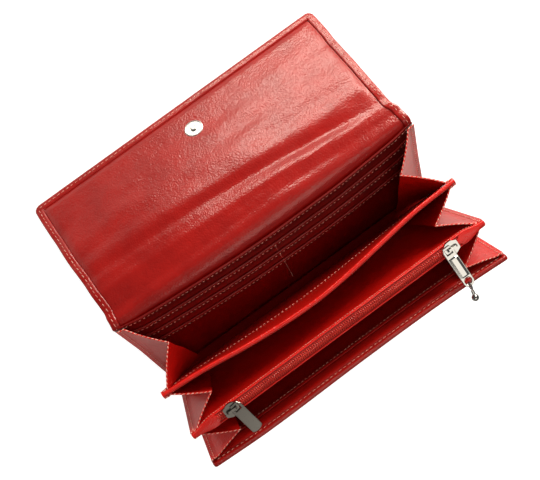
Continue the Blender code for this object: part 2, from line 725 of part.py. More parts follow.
def front_panel(frame):
    """Build the front panel: cover, board, lining, slip pocket and press stud socket."""
    cover = panel_outline(HALF_LENGTH, FOOT_GAP, FRONT_HEIGHT, PANEL_CORNER)
    sheet("front_cover", [cover], -COVER_THICKNESS, 0, frame, LEATHER, COVER_EDGE_RADIUS)
    board = box_outline(
        (BOARD_INSET - HALF_LENGTH, BOARD_INSET), (HALF_LENGTH - BOARD_INSET, FRONT_HEIGHT - BOARD_INSET)
    )
    sheet("front_board", [board], BOARD_AT, BOARD_AT + BOARD_THICKNESS, frame, BOARD)
    lining = panel_outline(HALF_LENGTH - CLEARANCE, SLIP_FOOT / 2, FRONT_HEIGHT - CLEARANCE, PANEL_CORNER)
    sheet("front_lining", [lining], LINING_AT, LINING_AT + LINING_THICKNESS, frame, LEATHER)
    half = HALF_LENGTH - GUSSET_END_INSET
    slip = box_outline((-half, SLIP_FOOT), (half, FRONT_HEIGHT - SLIP_DROP))
    face = POCKETS_AT + CARD_LEATHER
    sheet("front_slip_pocket", [slip], POCKETS_AT, face, frame, DARK_LEATHER, CARD_LIP_RADIUS)
    stud_socket(frame)


def stud_socket(frame):
    """Add the press stud's socket to the front panel's outer face."""
    profile = [
        (SOCKET_BORE, SOCKET_HEIGHT),
        (SOCKET_RADIUS - SOCKET_HEIGHT / 2, SOCKET_HEIGHT),
        (SOCKET_RADIUS, SOCKET_HEIGHT / 2),
        (SOCKET_RADIUS, 0),
        (SOCKET_BORE, 0),
        (SOCKET_BORE, SOCKET_HEIGHT),
    ]
    socket = turned("snap_socket", profile, frame, NICKEL)
    drop = FLAP_HEIGHT - STUD_FROM_EDGE
    socket.location = (SNAP_OFF_CENTRE, -COVER_THICKNESS - LAYER_GAP, BACK_HEIGHT - drop)
    socket.rotation_euler = (pi / 2, 0, 0)


def gusset_point(frame, along, depth, height):
    """Return a point of a panel's frame in world space."""
    return frame.matrix_world @ Vector((along, depth, height))


def gusset(name, side, back_frame, back_depth, back_top, front_frame, front_depth, front_top, parent):
    """Build a V-folded end gusset between the faces of two panels.

    back_depth and front_depth give the depth of each face for a height on its panel.
    """
    end = HALF_LENGTH - GUSSET_END_INSET
    stitch = end - GUSSET_FLANGE
    form = bmesh.new()
    rows = []
    for row in range(GUSSET_ROWS + 1):
        share = row / GUSSET_ROWS
        high_b = GUSSET_FOOT + (back_top - GUSSET_FOOT) * share
        high_f = GUSSET_FOOT + (front_top - GUSSET_FOOT) * share
        flat_b = gusset_point(back_frame, side * end, back_depth(high_b), high_b)
        seam_b = gusset_point(back_frame, side * stitch, back_depth(high_b), high_b)
        seam_f = gusset_point(front_frame, side * stitch, front_depth(high_f), high_f)
        flat_f = gusset_point(front_frame, side * end, front_depth(high_f), high_f)
        fold = (seam_b + seam_f) / 2
        fold.x = side * GUSSET_FOLD_PLACE
        rows.append([form.verts.new(point) for point in (flat_b, seam_b, fold, seam_f, flat_f)])
    for lower, upper in zip(rows, rows[1:]):
        for i in range(len(lower) - 1):
            form.faces.new((lower[i], lower[i + 1], upper[i + 1], upper[i]))
    bmesh.ops.recalc_face_normals(form, faces=form.faces)
    mesh = bpy.data.meshes.new(name)
    form.to_mesh(mesh)
    form.free()
    mesh.transform(parent.matrix_world.inverted())
    thing = add_object(name, mesh, parent, DARK_LEATHER)
    skin = thing.modifiers.new("Leather", "SOLIDIFY")
    skin.thickness = GUSSET_LEATHER
    skin.offset = 0
    skin.use_even_offset = True
    return thing


def gussets(back, middle, pocket, front):
    """Hang the three pairs of gussets between the four panels."""
    pack = LAYER_GAP + GUSSET_LEATHER / 2
    drop = GUSSET_TOP_DROP
    plies = (
        (1, back, lambda height: -BACK_INNER - pack, BACK_HEIGHT - GUSSET_BACK_DROP,
         middle, lambda height: DIVIDER_HALF + pack, DIVIDER_HEIGHT - drop, back),
        (2, middle, lambda height: -DIVIDER_HALF - pack, DIVIDER_HEIGHT - drop,
         pocket, lambda height: pocket_half(height) + pack, ZIP_POCKET_HEIGHT - drop, middle),
        (3, pocket, lambda height: -pocket_half(height) - pack, ZIP_POCKET_HEIGHT - drop,
         front, lambda height: FRONT_INNER + pack, FRONT_HEIGHT - drop, front),
    )
    for number, *ply in plies:
        for label, side in (("left", -1), ("right", 1)):
            gusset(f"gusset_{number}_{label}", side, *ply)


def flap_rest_angle(fold_height):
    """Return the flap's slope when its outer corner touches the ground."""
    reach = hypot(FLAP_HEIGHT, COVER_THICKNESS)
    return -(asin(fold_height / reach) - atan2(COVER_THICKNESS, FLAP_HEIGHT))


def build():
    """Build the whole purse."""
    bottom_strip()
    upright = pi / 2
    back = hinge_frame("back_hinge", (0, BACK_AXIS_Y, OUTER_AXIS_Z), BACK_ANGLE - upright)
    middle = hinge_frame("divider_hinge", (0, DIVIDER_AXIS_Y, INNER_AXIS_Z), DIVIDER_ANGLE - upright)
    pocket = hinge_frame("zip_pocket_hinge", (0, ZIP_AXIS_Y, INNER_AXIS_Z), ZIP_POCKET_ANGLE - upright)
    front = hinge_frame("front_hinge", (0, FRONT_AXIS_Y, OUTER_AXIS_Z), FRONT_ANGLE - upright)
    spine = hinge_frame("spine_hinge", (0, 0, BACK_HEIGHT), SPINE_ANGLE - BACK_ANGLE, back)
    fold_height = OUTER_AXIS_Z + BACK_HEIGHT * sin(BACK_ANGLE) + SPINE_WIDTH * sin(SPINE_ANGLE)
    flap_angle = flap_rest_angle(fold_height)
    flap = hinge_frame("flap_hinge", (0, 0, SPINE_WIDTH), flap_angle - SPINE_ANGLE, spine)
    bpy.context.view_layer.update()
    back_panel(back)
    spine_panel(spine)
    flap_panel(flap)
    divider(middle)
    zip_pocket(pocket)
    front_panel(front)
    gussets(back, middle, pocket, front)
    runner_a = slider("a", SLIDER_A_PLACE, -1, SATIN, pocket)
    runner_b = slider("b", SLIDER_B_PLACE, 1, NICKEL, pocket)
    pull("a", SATIN, runner_a, PULL_A_LENGTH, PULL_A_WIDTH, PULL_A_END_RISE, PULL_A_TURN, [])
    hole_at = -(PULL_B_LENGTH - TAIL_HOLE_RADIUS - TAIL_RIM)
    hole = circle((0, hole_at), TAIL_HOLE_RADIUS, SMALL_SEGMENTS)
    end_rise = PULL_B_WIDTH / 2 - TAIL_RIM / 2
    tail = pull("b", NICKEL, runner_b, PULL_B_LENGTH, PULL_B_WIDTH, end_rise, 0, [hole])
    charm(tail)


clear_scene()
PARTS = new_collection("flap_purse")
CUTTERS = new_collection("purse_cutters")
LEATHER = finish("red_leather", RED_LEATHER, LEATHER_ROUGHNESS)
DARK_LEATHER = finish("dark_red_leather", DARK_RED_LEATHER, LEATHER_ROUGHNESS)
CLOTH = finish("red_pocket_cloth", RED_CLOTH, CLOTH_ROUGHNESS)
TAPE = finish("red_zip_tape", RED_TAPE, CLOTH_ROUGHNESS)
BOARD = finish("grey_board", GREY_BOARD, BOARD_ROUGHNESS)
NICKEL = finish("bright_nickel", BRIGHT_NICKEL, BRIGHT_ROUGHNESS, METALLIC)
SATIN = finish("satin_nickel", SATIN_NICKEL, SATIN_ROUGHNESS, METALLIC)
build()
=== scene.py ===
"""Look of a long flap purse in smooth red leather that stands open like a tent.

Sizes are in millimetres and become metres where a mesh is made. X runs along the purse,
+Y is the back and +Z is up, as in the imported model.
"""

import logging
from bisect import bisect_right
from dataclasses import dataclass, field
from enum import Enum
from math import atan2, cos, exp, hypot, pi, radians, sin
from typing import Callable, Sequence

import bmesh
import bpy
from mathutils import Matrix, Vector, noise


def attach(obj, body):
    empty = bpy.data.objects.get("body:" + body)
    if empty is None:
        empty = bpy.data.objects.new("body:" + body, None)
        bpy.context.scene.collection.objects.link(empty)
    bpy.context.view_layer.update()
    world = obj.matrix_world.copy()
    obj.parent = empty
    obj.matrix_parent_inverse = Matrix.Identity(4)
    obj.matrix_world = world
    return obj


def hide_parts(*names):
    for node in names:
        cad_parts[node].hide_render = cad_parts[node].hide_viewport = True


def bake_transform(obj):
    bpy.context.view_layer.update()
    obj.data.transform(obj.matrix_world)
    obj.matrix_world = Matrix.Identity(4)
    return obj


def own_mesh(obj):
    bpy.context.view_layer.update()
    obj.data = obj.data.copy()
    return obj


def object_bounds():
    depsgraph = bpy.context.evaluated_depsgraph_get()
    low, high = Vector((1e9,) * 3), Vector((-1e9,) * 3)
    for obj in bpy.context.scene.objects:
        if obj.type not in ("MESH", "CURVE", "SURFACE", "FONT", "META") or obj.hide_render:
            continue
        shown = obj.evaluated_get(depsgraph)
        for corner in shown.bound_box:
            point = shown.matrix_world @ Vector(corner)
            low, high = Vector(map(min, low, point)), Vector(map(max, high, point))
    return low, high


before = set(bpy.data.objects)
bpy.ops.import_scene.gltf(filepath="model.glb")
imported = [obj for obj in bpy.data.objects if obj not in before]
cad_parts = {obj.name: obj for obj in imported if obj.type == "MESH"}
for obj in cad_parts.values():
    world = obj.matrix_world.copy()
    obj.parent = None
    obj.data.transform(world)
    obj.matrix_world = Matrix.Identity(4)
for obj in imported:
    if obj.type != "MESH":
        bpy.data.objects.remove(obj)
CAD_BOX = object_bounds()

log = logging.getLogger("purse")
logging.basicConfig(level=logging.INFO, format="%(message)s")

MM = 0.001
HALF_LENGTH = 95.0
INNER_HALF = 94.2
Pair = tuple[float, float]
Triple = tuple[float, float, float]
Mapper = Callable[[float, float, float], Vector]
Path = list[tuple[Vector, Vector]]


class Side(Enum):
    """An end of the purse, by the sign of its X."""

    LEFT = -1
    RIGHT = 1

    @property
    def label(self) -> str:
        """Return the side's name for use in a piece's name."""
        return self.name.lower()


# Small helpers


def smooth(low: float, high: float, value: float) -> float:
    """Return an S-shaped step from 0 at low to 1 at high."""
    share = min(1.0, max(0.0, (value - low) / (high - low)))
    return share * share * (3 - 2 * share)


def table(points: Sequence[Pair], at: float) -> float:
    """Return the value at a place in a table of (place, value) pairs, smoothed between them.

    Args:
        points: the (place, value) pairs, by rising place.
        at: the place to look up.

    Returns:
        The value.
    """
    i = bisect_right([place for place, _ in points], at)
    if i in (0, len(points)):
        return points[max(i - 1, 0)][1]
    (a, low), (b, high) = points[i - 1], points[i]
    return low + (high - low) * smooth(a, b, at)


def curve(points: Sequence[Pair], at: float) -> float:
    """Return the value at a place in a table of (place, value) pairs, as one smooth curve.

    Args:
        points: the (place, value) pairs, by rising place.
        at: the place to look up.

    Returns:
        The value.
    """
    i = bisect_right([place for place, _ in points], at)
    if i in (0, len(points)):
        return points[max(i - 1, 0)][1]

    def slope(k: int) -> float:
        """Return the curve's slope at a pair."""
        first, last = points[max(k - 1, 0)], points[min(k + 1, len(points) - 1)]
        return (last[1] - first[1]) / (last[0] - first[0])

    (a, low), (b, high) = points[i - 1], points[i]
    wide, t = b - a, (at - a) / (b - a)
    start, end = slope(i - 1) * wide, slope(i) * wide
    rest = 3 * (high - low) - 2 * start - end + t * (2 * (low - high) + start + end)
    return low + t * (start + t * rest)


def spread(low: float, high: float, steps: int) -> list[float]:
    """Return evenly spaced values, both ends included."""
    return [low + (high - low) * i / steps for i in range(steps + 1)]


def hump(value: float, middle: float, width: float) -> float:
    """Return a smooth hump that is 1 at its middle."""
    return exp(-((value - middle) / width) ** 2)


def ripple(place: Sequence[float], size: float) -> float:
    """Return smooth noise from about -1 to 1 whose bumps are size millimetres across."""
    return noise.noise(Vector(place) / size)


# Finishes


def linear(hex_colour: str) -> tuple[float, float, float, float]:
    """Turn an sRGB hex colour into linear RGBA.

    Args:
        hex_colour: the colour, as # and six hex digits.

    Returns:
        Red, green, blue and 1.
    """
    values = [int(hex_colour[i:i + 2], 16) / 255 for i in (1, 3, 5)]
    made = [v / 12.92 if v <= 0.04045 else ((v + 0.055) / 1.055) ** 2.4 for v in values]
    return (made[0], made[1], made[2], 1.0)


def feed(tree: bpy.types.NodeTree, node: bpy.types.Node, **inputs: object) -> bpy.types.Node:
    """Set a node's inputs.

    Args:
        tree: the node tree that holds the node.
        node: the node.
        inputs: socket names with _ for a space, or n and a socket's number, each with a value or
            an output socket.

    Returns:
        The same node.
    """
    for key, value in inputs.items():
        numbered = key[0] == "n" and key[1:].isdigit()
        socket = node.inputs[int(key[1:]) if numbered else key.replace("_", " ")]
        if isinstance(value, bpy.types.NodeSocket):
            tree.links.new(value, socket)
        else:
            socket.default_value = value
    return node


def add_node(tree: bpy.types.NodeTree, kind: str, settings: dict[str, object] | None = None,
             **inputs: object) -> bpy.types.Node:
    """Add a node of a kind, named without its ShaderNode prefix, with its settings and inputs.

    Args:
        tree: the node tree that takes the node.
        kind: the node's type name, without its ShaderNode prefix.
        settings: attributes to set on the node.
        inputs: its inputs, in the way that feed takes them.

    Returns:
        The new node.
    """
    node = tree.nodes.new("ShaderNode" + kind)
    for key, value in (settings or {}).items():
        setattr(node, key, value)
    return feed(tree, node, **inputs)


def blank(name: str) -> tuple[bpy.types.Material, bpy.types.NodeTree, bpy.types.Node]:
    """Return a new material, its tree and its Principled shader.

    Args:
        name: the material's name.

    Returns:
        The material, its node tree and its shader node.
    """
    made = bpy.data.materials.new(name)
    made.use_nodes = True
    return made, made.node_tree, made.node_tree.nodes["Principled BSDF"]


@dataclass(frozen=True)
class Cowhide:
    """Smooth dyed cowhide, drum-dyed and glazed: a soft broad gloss over a fine pebbled grain.

    The grain is drawn a little coarser than the hide's own, so that it shows at this distance.
    """

    name: str
    colour: str
    deep: str
    roughness: float = 0.33
    rubbed: float = 0.07
    coat: float = 0.80
    coat_roughness: float = 0.22
    ior: float = 1.5
    glaze_tint: str = "#FFE2D6"
    dye_patch: float = 14.0
    rub_patch: float = 3.0
    grain: float = 0.95
    grain_height: float = 0.09
    crease: float = 2.6
    crease_height: float = 0.10
    fold: float = 8.0
    fold_height: float = 0.25

    def material(self) -> bpy.types.Material:
        """Build the material: mottled dye, rubbed polish, pebbled grain and slight waves in the hide.

        Returns:
            The material.
        """
        made, tree, shader = blank(self.name)
        place = add_node(tree, "TexCoord").outputs["Object"]
        dye = add_node(tree, "TexNoise", Vector=place, Scale=1 / (self.dye_patch * MM), Detail=4.0,
                       Roughness=0.6)
        shift = add_node(tree, "MapRange", Value=dye.outputs["Fac"], From_Min=0.32, From_Max=0.72)
        colour = add_node(tree, "Mix", {"data_type": "RGBA"}, n0=shift.outputs["Result"],
                          n6=linear(self.deep), n7=linear(self.colour))
        rub = add_node(tree, "TexNoise", Vector=place, Scale=1 / (self.rub_patch * MM), Detail=3.0)
        polish = add_node(tree, "MapRange", Value=rub.outputs["Fac"], To_Min=self.roughness - self.rubbed,
                          To_Max=self.roughness + self.rubbed)
        wave = add_node(tree, "TexNoise", Vector=place, Scale=1 / (self.fold * MM), Detail=3.0)
        low = add_node(tree, "Bump", Height=wave.outputs["Fac"], Distance=self.fold_height * MM)
        crease = add_node(tree, "TexNoise", Vector=place, Scale=1 / (self.crease * MM), Detail=2.0,
                          Roughness=0.6)
        middle = add_node(tree, "Bump", Height=crease.outputs["Fac"],
                          Distance=self.crease_height * MM, Normal=low.outputs["Normal"])
        pebble = add_node(tree, "TexVoronoi", {"feature": "SMOOTH_F1"}, Vector=place,
                          Scale=1 / (self.grain * MM), Smoothness=0.4)
        fine = add_node(tree, "Bump", {"invert": True}, Height=pebble.outputs["Distance"],
                        Distance=self.grain_height * MM, Normal=middle.outputs["Normal"])
        feed(tree, shader, Base_Color=colour.outputs[2], Roughness=polish.outputs["Result"],
             Normal=fine.outputs["Normal"], Coat_Normal=fine.outputs["Normal"])
        shader.inputs["Coat Weight"].default_value = self.coat
        shader.inputs["Coat Roughness"].default_value = self.coat_roughness
        shader.inputs["IOR"].default_value = self.ior
        shader.inputs["Specular Tint"].default_value = linear(self.glaze_tint)
        return made


@dataclass(frozen=True)
class Thread:
    """Bonded polyester sewing thread: a twisted, slightly shiny cord."""

    name: str = "bonded_polyester_thread"
    colour: str = "#F0B8A8"
    shade: str = "#CC6C5C"
    twist: float = 0.35
    twist_height: float = 0.05
    roughness: float = 0.4
    sheen: float = 0.2

    def material(self) -> bpy.types.Material:
        """Build the material: slanting twist marks on a satin thread, with painted shade in the twist's
        grooves.

        Returns:
            The material.
        """
        made, tree, shader = blank(self.name)
        place = add_node(tree, "TexCoord").outputs["Object"]
        twist = add_node(tree, "TexWave", {"bands_direction": "DIAGONAL"}, Vector=place,
                         Scale=1 / (self.twist * MM * 2 * pi))
        tint = add_node(tree, "Mix", {"data_type": "RGBA"}, n0=twist.outputs["Fac"],
                        n6=linear(self.shade), n7=linear(self.colour))
        bump = add_node(tree, "Bump", Height=twist.outputs["Fac"], Distance=self.twist_height * MM)
        feed(tree, shader, Base_Color=tint.outputs[2], Normal=bump.outputs["Normal"],
             Roughness=self.roughness)
        shader.inputs["Sheen Weight"].default_value = self.sheen
        return made


@dataclass(frozen=True)
class WovenTape:
    """Woven polyester, for the zip's tape and the coin pocket: fine crossing threads, no gloss."""

    name: str
    colour: str
    pitch: float = 0.5
    weave_height: float = 0.08
    # The share of the colour left in the gaps between the threads: painted shade
    between: float = 0.55
    roughness: float = 0.75
    sheen: float = 0.25

    def material(self) -> bpy.types.Material:
        """Build the material: two crossing wave patterns drive the bump, and darken the colour where the
        threads part, as painted shade in the weave's gaps.

        Returns:
            The material.
        """
        made, tree, shader = blank(self.name)
        place = add_node(tree, "TexCoord").outputs["Object"]
        scale = 1 / (self.pitch * MM * 2 * pi)
        warp = add_node(tree, "TexWave", {"bands_direction": "X"}, Vector=place, Scale=scale)
        weft = add_node(tree, "TexWave", {"bands_direction": "DIAGONAL"}, Vector=place, Scale=scale)
        cloth = add_node(tree, "Math", {"operation": "MULTIPLY"}, n0=warp.outputs["Fac"],
                         n1=weft.outputs["Fac"])
        base = Vector(linear(self.colour)[:3])
        # Painted shade: the colour falls to a share of itself between the threads
        tint = add_node(tree, "Mix", {"data_type": "RGBA"}, n0=cloth.outputs[0],
                        n6=(*(base * self.between), 1.0), n7=(*base, 1.0))
        bump = add_node(tree, "Bump", Height=cloth.outputs[0], Distance=self.weave_height * MM)
        feed(tree, shader, Base_Color=tint.outputs[2], Normal=bump.outputs["Normal"],
             Roughness=self.roughness)
        shader.inputs["Sheen Weight"].default_value = self.sheen
        return made


@dataclass(frozen=True)
class PlatedZinc:
    """Die-cast zinc, nickel plated: cool grey-white, mirror bright or satin, with fine wear."""

    name: str
    colour: str
    roughness: float
    scratch: float = 0.35
    scratch_height: float = 0.006

    def material(self) -> bpy.types.Material:
        """Build the material: uneven polish and hairline marks in the plating.

        Returns:
            The material.
        """
        made, tree, shader = blank(self.name)
        place = add_node(tree, "TexCoord").outputs["Object"]
        haze = add_node(tree, "TexNoise", Vector=place, Scale=1 / (self.scratch * MM), Detail=4.0)
        polish = add_node(tree, "MapRange", Value=haze.outputs["Fac"], To_Min=self.roughness * 0.7,
                          To_Max=self.roughness * 1.4)
        bump = add_node(tree, "Bump", Height=haze.outputs["Fac"], Distance=self.scratch_height * MM)
        feed(tree, shader, Base_Color=linear(self.colour), Metallic=1.0, Roughness=polish.outputs["Result"],
             Normal=bump.outputs["Normal"])
        return made


@dataclass(frozen=True)
class Greyboard:
    """Pressed bookbinder's board: dull, flecked with fibres."""

    name: str = "pressed_greyboard"
    colour: str = "#A89F92"
    fleck: str = "#8C8478"
    fleck_size: float = 0.8
    roughness: float = 0.9

    def material(self) -> bpy.types.Material:
        """Build the material: grey-brown flecks on a rough face.

        Returns:
            The material.
        """
        made, tree, shader = blank(self.name)
        place = add_node(tree, "TexCoord").outputs["Object"]
        fleck = add_node(tree, "TexNoise", Vector=place, Scale=1 / (self.fleck_size * MM), Detail=5.0)
        tint = add_node(tree, "Mix", {"data_type": "RGBA"}, n0=fleck.outputs["Fac"],
                        n6=linear(self.fleck), n7=linear(self.colour))
        feed(tree, shader, Base_Color=tint.outputs[2], Roughness=self.roughness)
        return made


# Bright red for the leaves and gussets: nearly even colour under a soft broad gloss
RED = Cowhide("glazed_red_cowhide", "#D81810", "#C6110A").material()
# A darker copy of the same red hide for the card pockets, with the shade inside the pockets painted in: wine
# red, so that their stitches stand out
SHADED_POCKET_RED = Cowhide("glazed_dark_red_cowhide", "#7C0908", "#700605").material()
# A deeper red than the leaves', for the covers and linings: the gloss shows more than the dye
DEEP = Cowhide("glazed_deep_red_cowhide", "#A0100B", "#8E0A07").material()
# Pale pink thread: each stitch reads as a light dash on the hide
THREAD = Thread().material()
# The zip's tape: matt red with hardly a highlight
TAPE = WovenTape("woven_polyester_zip_tape", "#CC2A20").material()
# The coin pocket's lining: a coarser weave, darker and dull
CLOTH = WovenTape("woven_polyester_pocket_lining", "#8C2A26", 0.7).material()
# Bright plate: nearly a mirror, with clear cool reflections
BRIGHT = PlatedZinc("bright_nickel_plate", "#DAD8D4", 0.12).material()
# Satin plate: darker, with blurred reflections
SATIN = PlatedZinc("satin_nickel_plate", "#8E8A84", 0.30).material()
# The press stud's plate: pale, with a wide soft highlight
STUD = PlatedZinc("polished_nickel_stud", "#E4E2DE", 0.28, 1.5).material()
# The boards inside the panels: grey, dull and flecked
BOARD = Greyboard().material()
# Moulded nylon filament has the glazed hide's soft gloss and mottling but no grain
NYLON = Cowhide("moulded_nylon_coil", "#D8382C", "#B82018", roughness=0.35, grain_height=0.0).material()


# Places


@dataclass(frozen=True)
class Panel:
    """A panel's hinge line and lean, with the soft bow of its leather.

    Height runs up the panel and depth points out at the back. Sway is how far the leather stands
    off towards the front at each X, in full at the sway height and above it. Pinch is the share
    of its inner depth that a panel loses at its two ends, where the gussets pull it together.
    """

    y: float
    z: float
    lean: float
    sway: tuple[Pair, ...] = ((0.0, 0.0),)
    sway_height: float = 50.0
    sway_power: float = 1.2
    pinch: float = 0.0
    pinch_from: float = 80.0
    pinch_to: float = 93.0

    def shift(self, x: float, height: float) -> float:
        """Return how far the soft panel stands off its plane towards the front."""
        rise = min(1.0, max(0.0, height / self.sway_height))
        return curve(self.sway, x) * rise ** self.sway_power

    def at(self, x: float, height: float, depth: float) -> Vector:
        """Return the place in millimetres of a point of the panel.

        Args:
            x: the place along the purse.
            height: how far up the panel.
            depth: how far out at the back.

        Returns:
            The point.
        """
        slope = radians(self.lean)
        if depth < 0:
            depth *= 1 - self.pinch * smooth(self.pinch_from, self.pinch_to, abs(x))
        out = depth - self.shift(x, height)
        return Vector((
            x,
            self.y + height * cos(slope) + out * sin(slope),
            self.z + height * sin(slope) - out * cos(slope),
        ))

    def normal(self) -> Vector:
        """Return the direction of growing depth."""
        slope = radians(self.lean)
        return Vector((0, sin(slope), -cos(slope)))


BACK = Panel(11.8, 1.5, 48.8, sway=((-95, -4.8), (-35, 0.3), (10, 1.8), (45, 1.5), (95, -1.4)), pinch=0.42)
DIVIDER = Panel(3.15, 2.3, 69.0, sway_height=85.3, sway_power=2.2, sway=(
    (-93, -0.6), (-70, 1.0), (-45, 4.2), (-20, 6.3), (0, 6.7), (22, 5.2), (45, 2.4), (68, -0.3), (92, -1.2)))
POCKET = Panel(-3.4, 2.3, 81.8)
FRONT = Panel(-11.8, 1.5, 90.6, sway_height=88.0, sway_power=1.6, sway=(
    (-95, -1.8), (-60, -0.4), (0, -1.0), (45, -0.8), (72, 0.2), (95, 1.6)))
HINGE_HEIGHT = 96.0
# Lean in degrees and length of the two straights past the top
SPINE = (-48.0, 29.1)
FLAP = (-50.87, 66.2)


def gap(first: Pair, last: Pair) -> float:
    """Return the distance between two points of a line."""
    return hypot(last[0] - first[0], last[1] - first[1])


def between(first: Pair, last: Pair, share: float) -> Pair:
    """Return the point at a share of the way from first to last."""
    return (first[0] + (last[0] - first[0]) * share, first[1] + (last[1] - first[1]) * share)


def bend(first: Pair, corner: Pair, last: Pair, pull: float = 0.62, steps: int = 16) -> list[Pair]:
    """Return a rounded turn from first to last that pulls towards corner.

    Args:
        first: where the turn starts.
        corner: the corner that it rounds.
        last: where it ends.
        pull: how near its handles come to the corner.
        steps: how many steps it has.

    Returns:
        Its points.
    """
    a, b = between(first, corner, pull), between(last, corner, pull)
    made = []
    for t in spread(0, 1, steps):
        w = ((1 - t) ** 3, 3 * t * (1 - t) ** 2, 3 * t * t * (1 - t), t ** 3)
        made.append(tuple(w[0] * first[n] + w[1] * a[n] + w[2] * b[n] + w[3] * last[n] for n in (0, 1)))
    return made


@dataclass
class Wrap:
    """The line that the cover's inner face follows, seen from the end of the purse.

    It starts at the middle of the bottom, goes round a panel's foot and up the panel. At the
    back it also turns over the top and runs down to the flap's free edge: its tail is the lean
    and length of each straight there. Far fold and near fold are how far past the crest the two
    soft folds lie at each X, and slack is how far the leather hangs off its line.
    """

    panel: Panel
    tail: tuple[Pair, ...] = ()
    mirror: int = 1
    foot: float = 1.2
    foot_turn: Pair = (3.5, 4.0)
    crest: float = 89.0
    past: float = 13.0
    step: float = 0.5
    far_fold: tuple[Pair, ...] = ((-90, 36), (-20, 33), (10, 30), (45, 25.5), (75, 22))
    near_fold: tuple[Pair, ...] = ((-90, 14), (0, 12.5), (60, 10.5))
    slack: tuple[Pair, ...] = ((-90, 1.0), (-50, 2.2), (0, 1.4), (50, 0.4))
    line: list[Pair] = field(default_factory=list)
    reach: list[float] = field(default_factory=list)
    hinge: float = 0.0
    top: float = 0.0

    def __post_init__(self) -> None:
        """Sample the line every step and note how far along it each sample lies."""
        knots = self.knots()
        self.line = [knots[0]]
        for first, last in zip(knots, knots[1:]):
            count = max(1, round(gap(first, last) / self.step))
            self.line += [between(first, last, i / count) for i in range(1, count + 1)]
        self.reach = [0.0]
        for first, last in zip(self.line, self.line[1:]):
            self.reach.append(self.reach[-1] + gap(first, last))
        self.hinge = self.nearest(self.on(0.0))
        self.top = self.nearest(self.on(self.crest)) if self.tail else self.reach[-1]

    @property
    def slope(self) -> float:
        """Return the panel's lean as the line sees it."""
        return radians(self.panel.lean if self.mirror > 0 else 180 - self.panel.lean)

    def on(self, height: float) -> Pair:
        """Return the point of the panel's line at a height."""
        return (self.panel.y * self.mirror + cos(self.slope) * height,
                self.panel.z + sin(self.slope) * height)

    def knots(self) -> list[Pair]:
        """Return the line's corners, with rounded turns at the foot and over the top.

        Returns:
            The corners, each as its distance from the middle and its height.
        """
        meet = self.panel.y * self.mirror + (self.foot - self.panel.z) / sin(self.slope) * cos(self.slope)
        before, after = self.foot_turn
        made = [(0.0, self.foot), (meet - before, self.foot)]
        made += bend((meet - before, self.foot), (meet, self.foot), self.on(after))
        if not self.tail:
            return [*made, self.on(self.crest)]
        place = self.on(HINGE_HEIGHT)
        down = radians(self.tail[0][0])
        beyond = (place[0] + self.past * cos(down), place[1] + self.past * sin(down))
        made += bend(self.on(self.crest), place, beyond)
        for lean, length in self.tail:
            place = (place[0] + length * cos(radians(lean)), place[1] + length * sin(radians(lean)))
            made.append(place)
        return made

    def nearest(self, place: Pair) -> float:
        """Return how far along the line its nearest sample to a point lies."""
        return self.reach[min(range(len(self.line)), key=lambda i: gap(self.line[i], place))]

    def sample(self, run: float) -> tuple[Pair, Pair]:
        """Return the point of the line at a run along it, and the outward direction there.

        Args:
            run: how far along the line.

        Returns:
            The point, and the outward direction.
        """
        run = min(max(run, 0.0), self.reach[-1])
        i = min(max(bisect_right(self.reach, run), 1), len(self.line) - 1)
        share = (run - self.reach[i - 1]) / max(self.reach[i] - self.reach[i - 1], 1e-6)
        first, last = self.line[max(i - 3, 0)], self.line[min(i + 2, len(self.line) - 1)]
        length = gap(first, last)
        outward = ((last[1] - first[1]) / length, -(last[0] - first[0]) / length)
        return between(self.line[i - 1], self.line[i], share), outward

    def shift(self, x: float, run: float) -> float:
        """Return how far the leather stands off its line inwards: the panel's bow and the soft folds.

        Args:
            x: the place along the purse.
            run: how far along the line.

        Returns:
            The distance inwards.
        """
        if not self.tail:
            return -self.panel.shift(x, run - self.hinge)
        if run <= self.top:
            return self.panel.shift(x, run - self.hinge)
        past = run - self.top
        return self.panel.shift(x, self.top - self.hinge) * (1 - smooth(0, 34, past)) + self.folds(x, past)

    def folds(self, x: float, past: float) -> float:
        """Return the height of the soft folds across the back of the flap, and of its slack bow.

        Args:
            x: the place along the purse.
            past: how far along the line past the crest.

        Returns:
            The height inwards.
        """
        wander = 0.8 * ripple((x, 0, 3), 60)
        far = curve(self.far_fold, x) + wander
        near = curve(self.near_fold, x) + wander
        deep = (0.55 + 0.45 * smooth(-80, -10, x)) * (1 - 0.8 * smooth(58, 80, x))
        made = 0.85 * hump(past, near + 0.48 * (far - near), 3.6) - deep * hump(past, far, 3.3)
        made += 0.45 * deep * hump(past, far + 8, 5.0)
        made -= 0.55 * hump(past, near, 2.5) - 0.3 * hump(past, near - 5.5, 2.2)
        slack = curve(self.slack, x) * sin(pi * min(1.0, past / 92)) ** 2
        waves = 0.35 * ripple((x * 0.35, past, 0), 9) + 0.5 * ripple((x, past, 8), 34)
        return made + slack + waves * smooth(3, 14, past) * (1 - smooth(70, 90, past))

    def at(self, x: float, run: float, depth: float) -> Vector:
        """Return the place of a point of the wrap: across, along and outwards from its line.

        Args:
            x: the place along the purse.
            run: how far along the line.
            depth: how far out of the line.

        Returns:
            The point.
        """
        (y, z), (ny, nz) = self.sample(run)
        out = depth - self.shift(x, run)
        return Vector((x, self.mirror * (y + out * ny), z + out * nz))

    def direction(self, run: float) -> Vector:
        """Return the outward direction at a run along the line."""
        _, (ny, nz) = self.sample(run)
        return Vector((0, self.mirror * ny, nz))

    def spot(self, run: float) -> Pair:
        """Return the Y and Z of the line at a run along it."""
        y, z = self.sample(run)[0]
        return (y * self.mirror, z)


BACK_WRAP = Wrap(BACK, tail=(SPINE, FLAP))
FRONT_WRAP = Wrap(FRONT, mirror=-1, crest=90.5)


# How pieces move


@dataclass(frozen=True)
class Rides:
    """A piece that keeps its shape and moves with one body."""

    body: str

    def carry(self, piece: bpy.types.Object) -> None:
        """Hang the piece on its body."""
        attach(piece, self.body)


